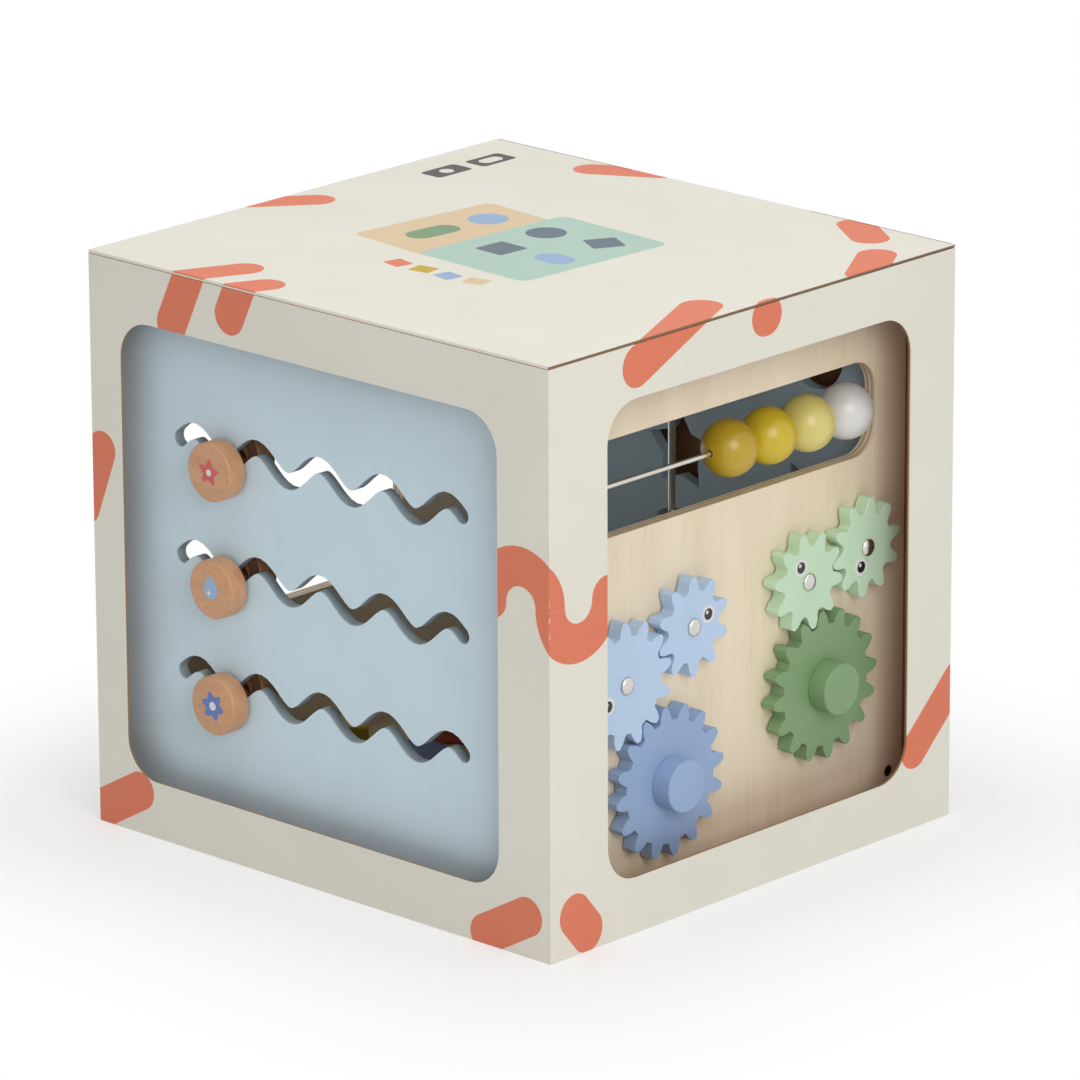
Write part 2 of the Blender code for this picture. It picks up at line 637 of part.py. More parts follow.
def build_screws(right, left, panels):
    """Screws through the side panels into the edges of the back panel and the base."""
    sink_radius = SCREW_HEAD_RADIUS + SHANK_CLEARANCE
    sink_length = 2 * (SCREW_HEAD_HEIGHT + SCREW_SINK + GAP)
    hole_radius = SCREW_RADIUS + SHANK_CLEARANCE
    hole_length = 2 * (SCREW_LENGTH + SHANK_CLEARANCE)
    profile = [
        (0, -SCREW_SINK),
        (SCREW_HEAD_RADIUS, -SCREW_SINK),
        (SCREW_HEAD_RADIUS, -SCREW_SINK - SCREW_HEAD_HEIGHT),
        (SCREW_RADIUS, -SCREW_SINK - SCREW_HEAD_HEIGHT),
        (SCREW_RADIUS, -SCREW_LENGTH),
        (0, -SCREW_LENGTH),
    ]
    back_y = TOY_BACK - PLY / 2
    base_z = TOY_BOTTOM + PLY / 2
    spots = (
        ("back_panel", back_y, TOY_BOTTOM + SCREW_EDGE_DROP),
        ("back_panel", back_y, TOY_TOP - SCREW_EDGE_DROP),
        ("base_panel", TOY_FRONT + SCREW_BASE_INSET, base_z),
        ("base_panel", TOY_BACK - SCREW_BASE_INSET, base_z),
    )
    sides = ((right, TOY_RIGHT, FACING_RIGHT), (left, TOY_LEFT, FACING_LEFT))
    number = 0
    for side_panel, face_x, facing in sides:
        for edge_panel, screw_y, screw_z in spots:
            number += 1
            name = f"panel_screw_{number}"
            place = at(face_x, screw_y, screw_z, facing)
            turn(add_part(name, profile_mesh(name, profile), place, DARK_STEEL), SCREW_STEPS)
            sink_mesh = rod_mesh(f"{name}_sink", sink_radius, sink_length, SCREW_STEPS)
            cut(side_panel, add_cutter(f"{name}_sink", sink_mesh, place))
            hole_mesh = rod_mesh(f"{name}_hole", hole_radius, hole_length, SCREW_STEPS)
            hole = add_cutter(f"{name}_hole", hole_mesh, place)
            cut(side_panel, hole)
            cut(panels[edge_panel], hole)


def build_sliders():
    """The knobs in the slots, each with a washer and a keeper behind the panel.

    The washer slides straight. The keeper swings in it on half the wave's height, and the knob turns
    back in the keeper twice as far, so that the stem keeps just below the slot's middle line.
    """
    rest_run = SLIDER_REST_ANGLE * SLOT_PERIOD / (2 * math.pi)
    first_trough = TOY_MID_X - (SLOT_CRESTS - 2) * SLOT_PERIOD / 2
    slider_x = first_trough + rest_run
    stem_drop = SLOT_AMPLITUDE * math.cos(SLIDER_REST_ANGLE)
    keeper_swing = SLOT_AMPLITUDE / 2
    keeper_side = keeper_swing * math.sin(SLIDER_REST_ANGLE)
    knob_back = TOY_FRONT - SLIDER_STANDOFF
    washer_y = INNER_FRONT + GAP + WASHER_THICKNESS / 2
    keeper_y = washer_y + WASHER_THICKNESS / 2 + GAP + KEEPER_THICKNESS / 2
    stem_length = keeper_y + KEEPER_THICKNESS / 2 + GAP - knob_back
    head_back = stem_length + STEM_HEAD_THICKNESS
    keeper_bore = keeper_swing + STEM_RADIUS + PIN_CLEARANCE
    washer_bore = SLOT_AMPLITUDE + STEM_RADIUS + PIN_CLEARANCE
    head_radius = keeper_bore + STEM_HEAD_LIP
    profile = [
        (0, SLIDER_THICKNESS),
        (SLIDER_RADIUS - SLIDER_EDGE, SLIDER_THICKNESS),
        (SLIDER_RADIUS, SLIDER_THICKNESS - SLIDER_EDGE),
        (SLIDER_RADIUS, SLIDER_EDGE),
        (SLIDER_RADIUS - SLIDER_EDGE, 0),
        (STEM_RADIUS, 0),
        (STEM_RADIUS, -stem_length),
        (head_radius, -stem_length),
        (head_radius, -head_back),
        (0, -head_back),
    ]
    for row in range(SLOT_ROWS):
        height = slot_height(row) - SLIDER_SAG
        keeper_x = slider_x + keeper_side
        keeper_z = height - stem_drop / 2
        pivot = bpy.data.objects.new(f"slider_pivot_{row + 1}", None)
        pivot.location = (keeper_x, knob_back, keeper_z)
        bpy.data.collections[PARTS_NAME].objects.link(pivot)
        name = f"slider_knob_{row + 1}"
        knob_place = at(-keeper_side, 0, -stem_drop / 2, FACING_FRONT)
        knob = add_part(name, profile_mesh(name, profile), knob_place, BEECH)
        knob.parent = pivot
        turn(knob, SLIDER_STEPS)
        name = f"slider_washer_{row + 1}"
        rings = [circle(0, 0, radius, WASHER_STEPS) for radius in (WASHER_RADIUS, washer_bore)]
        mesh = flat_mesh(name, rings, WASHER_THICKNESS)
        add_part(name, mesh, at(slider_x, washer_y, height, FACING_FRONT), FELT)
        name = f"slider_keeper_{row + 1}"
        rings = [circle(0, 0, radius, WASHER_STEPS) for radius in (KEEPER_RADIUS, keeper_bore)]
        mesh = flat_mesh(name, rings, KEEPER_THICKNESS)
        add_part(name, mesh, at(keeper_x, keeper_y, keeper_z, FACING_FRONT), BEECH)


def build_abacus():
    """The rod across the window and the beads on it."""
    rod_x = TOY_RIGHT - PLY / 2
    rod_z = TOY_TOP - ABACUS_DROP
    abacus_front, abacus_back = abacus_span()
    rod_length = abacus_back - abacus_front + 2 * ABACUS_ROD_SEAT
    mesh = rod_mesh("abacus_rod", ABACUS_ROD_RADIUS, rod_length, ROD_STEPS)
    add_part("abacus_rod", mesh, at(rod_x, SIDE_MID_Y, rod_z, FACING_FRONT), STEEL)

    bore = ABACUS_ROD_RADIUS + BEAD_BORE_CLEARANCE
    half_turn = math.acos(bore / BEAD_RADIUS)
    squash = BEAD_LENGTH / (2 * BEAD_RADIUS * math.sin(half_turn))
    outer = arc(0, 0, BEAD_RADIUS, half_turn, -half_turn, BEAD_PROFILE_STEPS)
    profile = [(radius, height * squash) for radius, height in outer]
    last_bead = abacus_back - BEAD_END_SPACE - BEAD_LENGTH / 2
    for number in range(BEAD_COUNT):
        name = f"bead_{number + 1}"
        bead_y = last_bead - (BEAD_COUNT - 1 - number) * BEAD_PITCH
        finish = (BEAD_COLOURS[number % len(BEAD_COLOURS)], BEAD_ROUGHNESS, 0.0)
        place = at(rod_x, bead_y, rod_z, FACING_FRONT)
        turn(add_part(name, profile_mesh(name, profile, closed=True), place, finish), BEAD_STEPS)


def gear_outline(teeth, phase):
    """The outline of a gear with involute flanks, its first tooth pointing along phase."""
    pitch_radius = GEAR_MODULE * teeth / 2
    base_radius = pitch_radius * math.cos(GEAR_PRESSURE_ANGLE)
    tip_radius = pitch_radius + GEAR_ADDENDUM * GEAR_MODULE
    root_radius = pitch_radius - GEAR_DEDENDUM * GEAR_MODULE
    half_tooth = (math.pi * GEAR_MODULE / 2 - GEAR_BACKLASH) / (2 * pitch_radius)
    flank_start = math.tan(GEAR_PRESSURE_ANGLE) - GEAR_PRESSURE_ANGLE
    low_radius = max(base_radius, root_radius)
    flank = []
    for step in range(GEAR_FLANK_STEPS + 1):
        radius = low_radius + (tip_radius - low_radius) * step / GEAR_FLANK_STEPS
        slant = math.acos(min(1.0, base_radius / radius))
        flank.append((radius, half_tooth + flank_start - (math.tan(slant) - slant)))
    root_angle = flank[0][1] + (low_radius - root_radius) / pitch_radius
    points = []
    for tooth in range(teeth):
        middle = phase + 2 * math.pi * tooth / teeth
        side = [(root_radius, middle - root_angle)]
        side += [(radius, middle - angle) for radius, angle in flank]
        side += [(radius, middle + angle) for radius, angle in reversed(flank)]
        side += [(root_radius, middle + root_angle)]
        points += [(radius * math.cos(angle), radius * math.sin(angle)) for radius, angle in side]
    return points


def build_gears():
    """The six gears, the knobs and spindles of the two drive gears and the pins of the others."""
    finishes = {
        "green_drive": DARK_GREEN,
        "green_middle": LIGHT_GREEN,
        "green_end": LIGHT_GREEN,
        "blue_drive": MID_BLUE,
        "blue_middle": LIGHT_BLUE,
        "blue_end": LIGHT_BLUE,
    }
    gear_x = TOY_RIGHT + GEAR_STANDOFF + GEAR_THICKNESS / 2
    nut_top = -(GEAR_FRONT - INNER_RIGHT) - GAP
    nut_end = nut_top - SPINDLE_NUT_THICKNESS
    spindle_profile = [
        (0, SPINDLE_KNOB_SEAT),
        (SPINDLE_RADIUS, SPINDLE_KNOB_SEAT),
        (SPINDLE_RADIUS, nut_top),
        (SPINDLE_NUT_RADIUS, nut_top),
        (SPINDLE_NUT_RADIUS, nut_end),
        (0, nut_end),
    ]
    dome = [(PIN_HEAD_RADIUS * out, GAP + PIN_HEAD_HEIGHT * rise) for out, rise in PIN_HEAD_DOME]
    pin_profile = [
        (0, GAP + PIN_HEAD_HEIGHT),
        *dome,
        (PIN_HEAD_RADIUS, GAP),
        (SPINDLE_RADIUS, GAP),
        (SPINDLE_RADIUS, nut_top),
        (SPINDLE_NUT_RADIUS, nut_top),
        (SPINDLE_NUT_RADIUS, nut_end),
        (0, nut_end),
    ]
    spindle_bore = SPINDLE_RADIUS + PIN_CLEARANCE
    bore_end = GAP + SPINDLE_KNOB_SEAT
    knob_profile = [
        (0, DRIVE_KNOB_HEIGHT),
        (DRIVE_KNOB_RADIUS - DRIVE_KNOB_EDGE, DRIVE_KNOB_HEIGHT),
        (DRIVE_KNOB_RADIUS, DRIVE_KNOB_HEIGHT - DRIVE_KNOB_EDGE),
        (DRIVE_KNOB_RADIUS, GAP),
        (spindle_bore, GAP),
        (spindle_bore, bore_end),
        (0, bore_end),
    ]
    for train, (teeth, gear_y, gear_z, phase) in gear_centres().items():
        name = f"{train}_gear"
        hole = circle(0, 0, spindle_bore, ROD_STEPS)
        mesh = flat_mesh(name, [gear_outline(teeth, phase), hole], GEAR_THICKNESS)
        add_part(name, mesh, at(gear_x, gear_y, gear_z, FACING_RIGHT), finishes[train])
        place = at(GEAR_FRONT, gear_y, gear_z, FACING_RIGHT)
        if train.endswith("drive"):
            name = f"{train}_spindle"
            turn(add_part(name, profile_mesh(name, spindle_profile), place, STEEL), ROD_STEPS)
            name = f"{train}_knob"
            knob = add_part(name, profile_mesh(name, knob_profile), place, finishes[train])
            turn(knob, DRIVE_KNOB_STEPS)
        else:
            name = f"{train}_pin"
            turn(add_part(name, profile_mesh(name, pin_profile), place, STEEL), ROD_STEPS)


def build_inside():
    """The tie rod and the loose blocks."""
    rod_low = TOY_BOTTOM + PLY - TIE_ROD_SEAT
    rod_high = TOY_TOP - PLY + TIE_ROD_SEAT
    collar = TOY_BOTTOM + TIE_COLLAR_LEVEL
    profile = [
        (0, rod_high),
        (TIE_ROD_RADIUS, rod_high),
        (TIE_ROD_RADIUS, collar + TIE_COLLAR_HEIGHT),
        (TIE_COLLAR_RADIUS, collar + TIE_COLLAR_HEIGHT),
        (TIE_COLLAR_RADIUS, collar),
        (TIE_ROD_RADIUS, collar),
        (TIE_ROD_RADIUS, rod_low),
        (0, rod_low),
    ]
    place = at(TOY_MID_X + TIE_ROD_PLACE[0], TOY_MID_Y + TIE_ROD_PLACE[1], 0)
    rod = add_part("inner_tie_rod", profile_mesh("inner_tie_rod", profile), place, STEEL)
    turn(rod, ROD_STEPS)
    floor = TOY_BOTTOM + PLY + GAP
    for shape, (along, across) in BLOCK_PLACES.items():
        name = f"{shape}_block"
        mesh = flat_mesh(name, [shape_outline(shape, SHAPE_SIZE - BLOCK_SLACK)], BLOCK_LENGTH)
        place = at(TOY_MID_X + along, TOY_MID_Y + across, floor + BLOCK_LENGTH / 2)
        add_part(name, mesh, place, (BLOCK_COLOURS[shape], BLOCK_ROUGHNESS, 0.0))


def shade_round_pieces():
    """Smooth the round pieces and keep their real edges sharp."""
    for obj in bpy.data.collections[PARTS_NAME].objects:
        if obj.type == "MESH":
            obj.data.shade_smooth()
            obj.data.set_sharp_from_angle(angle=SHARP_ANGLE)


def main():
    """Build the carton and the toy."""
    start_scene()
    build_carton_sleeve()
    build_carton_ends()
    panels = build_wall_panels()
    right, left = build_side_panels()
    build_screws(right, left, panels)
    build_sliders()
    build_abacus()
    build_gears()
    build_inside()
    shade_round_pieces()


main()
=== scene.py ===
"""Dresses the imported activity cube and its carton: board, paint, plywood, beech and steel."""
import math

import bmesh
import bpy
from bpy.props import FloatProperty, FloatVectorProperty, PointerProperty
from mathutils import Matrix, Vector


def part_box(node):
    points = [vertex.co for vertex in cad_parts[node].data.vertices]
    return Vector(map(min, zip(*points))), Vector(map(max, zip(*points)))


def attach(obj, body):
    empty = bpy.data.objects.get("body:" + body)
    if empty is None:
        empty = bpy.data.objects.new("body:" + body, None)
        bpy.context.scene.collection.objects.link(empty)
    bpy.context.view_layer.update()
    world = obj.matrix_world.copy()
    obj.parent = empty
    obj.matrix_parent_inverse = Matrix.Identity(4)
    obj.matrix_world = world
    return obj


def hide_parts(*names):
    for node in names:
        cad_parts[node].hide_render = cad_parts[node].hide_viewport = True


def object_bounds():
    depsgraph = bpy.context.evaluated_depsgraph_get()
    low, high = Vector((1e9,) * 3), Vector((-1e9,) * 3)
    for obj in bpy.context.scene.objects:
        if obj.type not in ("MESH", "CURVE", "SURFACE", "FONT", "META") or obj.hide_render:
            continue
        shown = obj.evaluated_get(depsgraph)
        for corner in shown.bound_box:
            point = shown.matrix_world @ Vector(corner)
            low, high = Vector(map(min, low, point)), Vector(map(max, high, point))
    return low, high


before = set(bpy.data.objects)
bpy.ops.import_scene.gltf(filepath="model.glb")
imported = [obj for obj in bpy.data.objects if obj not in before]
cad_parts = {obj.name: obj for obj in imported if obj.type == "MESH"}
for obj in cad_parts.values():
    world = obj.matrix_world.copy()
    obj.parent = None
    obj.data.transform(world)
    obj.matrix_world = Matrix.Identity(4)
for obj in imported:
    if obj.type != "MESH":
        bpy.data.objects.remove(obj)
CAD_LOW, CAD_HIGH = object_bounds()

bl_info = {
    "name": "Boxed Activity Cube",
    "version": (1, 0, 0),
    "blender": (4, 5, 0),
    "location": "3D View > Sidebar > Activity Cube",
    "description": "Builds the looks of a wooden activity cube in its windowed carton",
    "category": "Object",
}

ROOT = "carton_and_toy"
FACING_FRONT = Matrix.Rotation(math.pi / 2, 4, "X")
FACING_RIGHT = Matrix.Rotation(math.pi / 2, 4, "Z") @ Matrix.Rotation(math.pi / 2, 4, "X")
FACING_LEFT = Matrix.Rotation(-math.pi / 2, 4, "Z") @ Matrix.Rotation(math.pi / 2, 4, "X")
HALF_WIDTH = CAD_HIGH.x
HALF_DEPTH = CAD_HIGH.y
HEIGHT = CAD_HIGH.z
GEAR_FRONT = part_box("green_middle_gear")[1].x

# Print on the carton, unfolded round the front right edge: s runs left onto the front and right
# onto the side, v runs up and over the top. Each stroke is its two ends and its half width.
WALL_STROKES = (
    ((-0.293, 0.314), (-0.264, 0.376), 0.0115),
    ((-0.246, 0.328), (-0.231, 0.360), 0.0115),
    ((-0.366, 0.192), (-0.352, 0.228), 0.0110),
    ((-0.354, 0.010), (-0.326, 0.026), 0.0115),
    ((-0.050, 0.006), (-0.018, 0.024), 0.0115),
    ((0.020, 0.024), (0.030, 0.012), 0.0125),
    ((0.072, 0.331), (0.146, 0.366), 0.0125),
    ((0.178, 0.337), (0.180, 0.337), 0.0115),
    ((0.310, 0.048), (0.346, 0.082), 0.0115),
    ((-0.044, 0.205), (-0.0439, 0.205), 0.0115),
    ((0.046, 0.205), (0.0461, 0.205), 0.0115),
)
# Half rings: centre, direction of the bow, radius of the middle line and half width.
WALL_BOWS = (
    ((-0.0215, 0.205), 90.0, 0.0225, 0.0115),
    ((0.0235, 0.205), -90.0, 0.0225, 0.0115),
)
TOP_STROKES = (
    ((-0.364, 0.482), (-0.340, 0.512), 0.0110),
    ((-0.268, 0.672), (-0.232, 0.692), 0.0115),
    ((-0.070, 0.682), (-0.044, 0.664), 0.0115),
    ((-0.018, 0.640), (0.004, 0.604), 0.0115),
)
# Flat picture on the top: centre and half size (s, v), turn in degrees, corner radius, colour name.
TOP_TILES = (
    ((-0.232, 0.520), (0.034, 0.052), 6.0, 0.006, "sand"),
    ((-0.168, 0.522), (0.044, 0.058), 3.0, 0.007, "mint"),
    ((-0.190, 0.548), (0.012, 0.012), 3.0, 0.0119, "slate"),
    ((-0.150, 0.554), (0.010, 0.010), 28.0, 0.002, "slate"),
    ((-0.186, 0.506), (0.011, 0.011), 3.0, 0.002, "slate"),
    ((-0.148, 0.510), (0.013, 0.009), 3.0, 0.0089, "sky"),
    ((-0.236, 0.548), (0.012, 0.012), 3.0, 0.0119, "sky"),
    ((-0.240, 0.506), (0.009, 0.018), 6.0, 0.0089, "leaf"),
    ((-0.208, 0.444), (0.007, 0.006), 12.0, 0.001, "coral"),
    ((-0.188, 0.444), (0.007, 0.006), -8.0, 0.001, "gold"),
    ((-0.168, 0.443), (0.007, 0.006), 10.0, 0.001, "sky"),
    ((-0.148, 0.445), (0.007, 0.006), -12.0, 0.001, "sand"),
    ((-0.3295, 0.611), (0.0085, 0.0145), 0.0, 0.003, "charcoal"),
    ((-0.3279, 0.6475), (0.0085, 0.0145), 0.0, 0.003, "charcoal"),
    ((-0.3295, 0.611), (0.0045, 0.0045), 0.0, 0.0044, "board"),
    ((-0.3279, 0.6475), (0.0045, 0.0085), 0.0, 0.0044, "board"),
)
EYES = {    # where each eye sits on its gear, from the gear's centre
    "green_middle": (-0.0070, 0.0101),
    "green_end": (-0.0056, -0.0106),
    "blue_middle": (-0.0158, -0.0085),
    "blue_end": (0.0119, 0.0051),
}
DRIVE_GEARS = ("green_drive", "blue_drive")
SCREW_COUNT = 8

PRINT_BLUR = 0.00018    # softness of a printed edge
BOARD_SKIN = 0.0009     # depth of board that carries the print
CORE_DEPTH = 0.0005     # where the cut edge of the lid shows its core
LINER_DEPTH = 0.0016    # where the inside of the walls starts
LINER_END = 0.0018      # where the core has wholly given way to the inside
FOLD_REACH = 0.0001     # how near to the front fold a point counts as on it
FOLD_GAP = 0.00002      # gap left under the lid at the front fold

EYE_RIM = 0.0003        # sloping rim of an eye, and the height of its face
EYE_SPOT_RADIUS = 0.0011
EYE_SPOT_PLACE = (-0.0010, 0.0013, 0.0)
RIVET_HEAD = 0.0052
RIVET_SHANK = 0.003
RIVET_NUT = 0.008
RIVET_NUT_DEPTH = 0.003
RIVET_LIFT = 0.0003     # gap between a gear and the rivet's head
RIVET_RIM = 0.0007      # height at which the rivet's dome starts
SCREW_SHANK = 0.0018
SCREW_HEAD = 0.0034
SCREW_NECK = 0.0022     # depth at which the head has tapered to the shank
SCREW_TAPER = 0.0016    # depth at which that taper starts
SCREW_EDGE = 0.0003
SCREW_CROSS = (0.0036, 0.0008, 0.0020)
KNOB_BORE_DEPTH = 0.006
FIRST_TILT = -6.0       # turn of the first knob's print, in degrees
TILT_STEP = 12.0        # further turn of each next one
COLLAR_EDGE = 0.0006

# The photographed view, in degrees, metres and millimetres of lens.
VIEW_TURN = 43.10
VIEW_HEIGHT = 17.38
VIEW_ROLL = -0.24
VIEW_DISTANCE = 4.581
VIEW_TARGET = Vector((0.0080, 0.0055, 0.1703))
VIEW_LENS = 263.8
SENSOR_WIDTH = 36.0

FLOOR_SIZE = 24.0
FLOOR_DROP = 0.0002     # keeps the floor just under the carton
FLOOR_FADE = 0.24       # how far from the carton the floor has turned white
SKY_LIGHT = 0.36
# Softboxes: name, place, size and power in watts.
LAMPS = (
    ("top_softbox", (0.15, -0.1, 2.6), 2.2, 31.0),
    ("front_softbox", (2.5, -1.25, 1.5), 1.6, 34.0),
)


def srgb(red, green, blue):
    """A colour given from 0 to 255, turned into the linear values that Blender uses."""
    shares = (value / 255 for value in (red, green, blue))
    return tuple(s / 12.92 if s <= 0.04045 else ((s + 0.055) / 1.055) ** 2.4 for s in shares)


def colour(name, description, red, green, blue):
    """A colour setting."""
    return FloatVectorProperty(
        name=name, description=description, default=srgb(red, green, blue),
        size=3, min=0.0, max=1.0, subtype="COLOR",
    )


def length(name, description, default):
    """A length setting."""
    return FloatProperty(name=name, description=description, default=default, min=0.0, unit="LENGTH")


class ActivityCubeColours(bpy.types.PropertyGroup):
    """The colours of the carton and the toy."""
    board: colour("Board", "Coated face of the carton", 231, 228, 215)
    core: colour("Board core", "Fluted core at cut edges of the board", 150, 118, 86)
    liner: colour("Board inside", "Uncoated inside of the carton and its flaps", 164, 112, 76)
    coral: colour("Coral", "Strokes printed on the carton", 224, 122, 90)
    sand: colour("Sand", "Printed sand tiles", 222, 198, 160)
    mint: colour("Mint", "Printed mint tiles", 176, 205, 190)
    sky: colour("Sky", "Printed blue tiles and the drop print", 150, 178, 210)
    leaf: colour("Leaf", "Printed green tiles", 118, 150, 112)
    slate: colour("Slate", "Printed dark tiles", 92, 108, 122)
    charcoal: colour("Charcoal", "Printed badges and the pupils", 62, 62, 62)
    gold: colour("Gold", "Printed gold tile and the first bead", 198, 164, 30)
    birch: colour("Birch", "Plywood face", 242, 227, 200)
    birch_dark: colour("Birch figure", "Darker figure and cross plies of the plywood", 206, 176, 136)
    beech: colour("Beech", "Slider knobs and keepers", 212, 160, 119)
    beech_dark: colour("Beech flecks", "Flecks in the beech", 168, 112, 76)
    front_paint: colour("Front paint", "Slot panel", 210, 230, 240)
    back_paint: colour("Back paint", "Sorter panel", 200, 226, 246)
    dark_green: colour("Dark green", "Green drive gear", 131, 164, 118)
    light_green: colour("Light green", "Small green gears and the square block", 202, 230, 198)
    mid_blue: colour("Mid blue", "Blue drive gear", 152, 177, 214)
    light_blue: colour("Light blue", "Small blue gears", 189, 213, 240)
    yellow: colour("Yellow", "Second bead and the star block", 216, 188, 36)
    pale_yellow: colour("Pale yellow", "Third bead", 226, 211, 124)
    white: colour("White", "Fourth bead, eyes and spots on the knob prints", 228, 227, 224)
    red: colour("Red", "Star print and the triangle block", 205, 92, 84)
    ink_blue: colour("Ink blue", "Flower print and the round block", 96, 124, 186)
    felt: colour("Felt", "Slider washers", 128, 88, 58)
    steel: colour("Steel", "Rods and rivets", 214, 212, 206)
    dark_steel: colour("Dark steel", "Screws", 92, 74, 60)
    floor: colour("Floor", "Studio floor", 244, 244, 244)


class ActivityCubeSizes(bpy.types.PropertyGroup):
    """The small sizes of edges, holes and prints."""
    board_edge: length("Board edge", "Rounding of the carton's folds", 0.0007)
    slit_length: length("Slit length", "Slits at the ends of the lid's back fold", 0.112)
    slit_width: length("Slit width", "Width of those slits", 0.0012)
    ply_edge: length("Plywood edge", "Rounding of the panels' edges", 0.0006)
    slot_edge: length("Slot edge", "Rounding of the slot panel's edges", 0.0008)
    gear_edge: length("Gear edge", "Rounding of the gears' edges", 0.0008)
    knob_edge: length("Knob edge", "Rounding of the slider knobs and keepers", 0.0014)
    knob_thickness: length("Knob thickness", "Slider knob without its stem", 0.0125)
    stem_radius: length("Stem radius", "Stem of a slider knob", 0.0024)
    stem_head_radius: length("Stem head radius", "Head that holds the keeper on its stem", 0.00755)
    stem_head_thickness: length("Stem head thickness", "Thickness of that head", 0.002)
    keeper_bore: length("Keeper bore", "Hole in a keeper for the stem", 0.00635)
    bead_bore: length("Bead bore", "Hole through a bead", 0.0021)
    knob_bore: length("Drive knob bore", "Hole in a drive knob for its spindle", 0.0033)
    tie_radius: length("Tie rod radius", "Rod inside the cube", 0.0023)
    drive_edge: length("Drive knob edge", "Rounding of the drive knobs", 0.0012)
    block_edge: length("Block edge", "Rounding of the loose blocks", 0.0015)
    print_depth: length("Print depth", "Thickness of printed motifs", 0.00012)
    eye_radius: length("Eye radius", "White of a gear's eye", 0.0053)
    pupil_radius: length("Pupil radius", "Dark middle of a gear's eye", 0.0034)


def colours():
    """The colour settings."""
    return bpy.context.scene.activity_cube_colours


def sizes():
    """The size settings."""
    return bpy.context.scene.activity_cube_sizes


# Node trees

def add(tree, kind, inputs=None, **settings):
    """Add a node; an input is a value or a socket to link."""
    node = tree.nodes.new(kind)
    for key, value in settings.items():
        setattr(node, key, value)
    for key, value in (inputs or {}).items():
        if isinstance(value, bpy.types.NodeSocket):
            tree.links.new(value, node.inputs[key])
        else:
            node.inputs[key].default_value = value
    return node


def calc(tree, operation, first, second=0.0, third=0.0):
    """The result of a Math node."""
    values = {0: first, 1: second, 2: third}
    return add(tree, "ShaderNodeMath", values, operation=operation).outputs[0]


def vector_calc(tree, operation, first, second, output="Vector"):
    """The result of a Vector Math node."""
    return add(tree, "ShaderNodeVectorMath", {0: first, 1: second}, operation=operation).outputs[output]


def ramp(tree, value, low, high):
    """A smooth step from 0 at low to 1 at high."""
    inputs = {"Value": value, "From Min": low, "From Max": high}
    return add(tree, "ShaderNodeMapRange", inputs, interpolation_type="SMOOTHSTEP").outputs["Result"]


def mix(tree, factor, first, second):
    """A colour between two colours."""
    node = add(tree, "ShaderNodeMix", data_type="RGBA")
    sockets = {"Factor_Float": factor, "A_Color": first, "B_Color": second}
    for identifier, value in sockets.items():
        socket = next(s for s in node.inputs if s.identifier == identifier)
        if isinstance(value, bpy.types.NodeSocket):
            tree.links.new(value, socket)
        elif identifier == "Factor_Float":
            socket.default_value = value
        else:
            socket.default_value = (*value[:3], 1.0)
    return next(s for s in node.outputs if s.identifier == "Result_Color")


def noise(tree, vector, scale, detail, **more):
    """The value of a Noise texture; further inputs are given by name."""
    inputs = {"Vector": vector, "Scale": scale, "Detail": detail}
    inputs.update({key.capitalize(): value for key, value in more.items()})
    return add(tree, "ShaderNodeTexNoise", inputs).outputs["Fac"]


def pair(tree, first, second):
    """A flat point from two values."""
    return add(tree, "ShaderNodeCombineXYZ", {"X": first, "Y": second}).outputs[0]


def place_of(tree):
    """The Object coordinate and its three parts."""
    coordinate = add(tree, "ShaderNodeTexCoord").outputs["Object"]
    parts = add(tree, "ShaderNodeSeparateXYZ", {0: coordinate}).outputs
    return coordinate, parts["X"], parts["Y"], parts["Z"]


def new_group(name, vectors, numbers, outputs):
    """A shader node group: its tree, its inputs and where its results go."""
    tree = bpy.data.node_groups.new(name, "ShaderNodeTree")
    kinds = [(label, "NodeSocketVector") for label in vectors]
    kinds += [(label, "NodeSocketFloat") for label in numbers]
    for label, kind in kinds:
        tree.interface.new_socket(label, in_out="INPUT", socket_type=kind)
    for label in outputs:
        tree.interface.new_socket(label, in_out="OUTPUT", socket_type="NodeSocketFloat")
    return tree, tree.nodes.new("NodeGroupInput").outputs, tree.nodes.new("NodeGroupOutput").inputs


def group_node(tree, name, inputs):
    """Place a node group in a tree; all groups are made when one is first needed."""
    if name not in bpy.data.node_groups:
        print_groups()
        surface_groups()
    return add(tree, "ShaderNodeGroup", inputs, node_tree=bpy.data.node_groups[name]).outputs


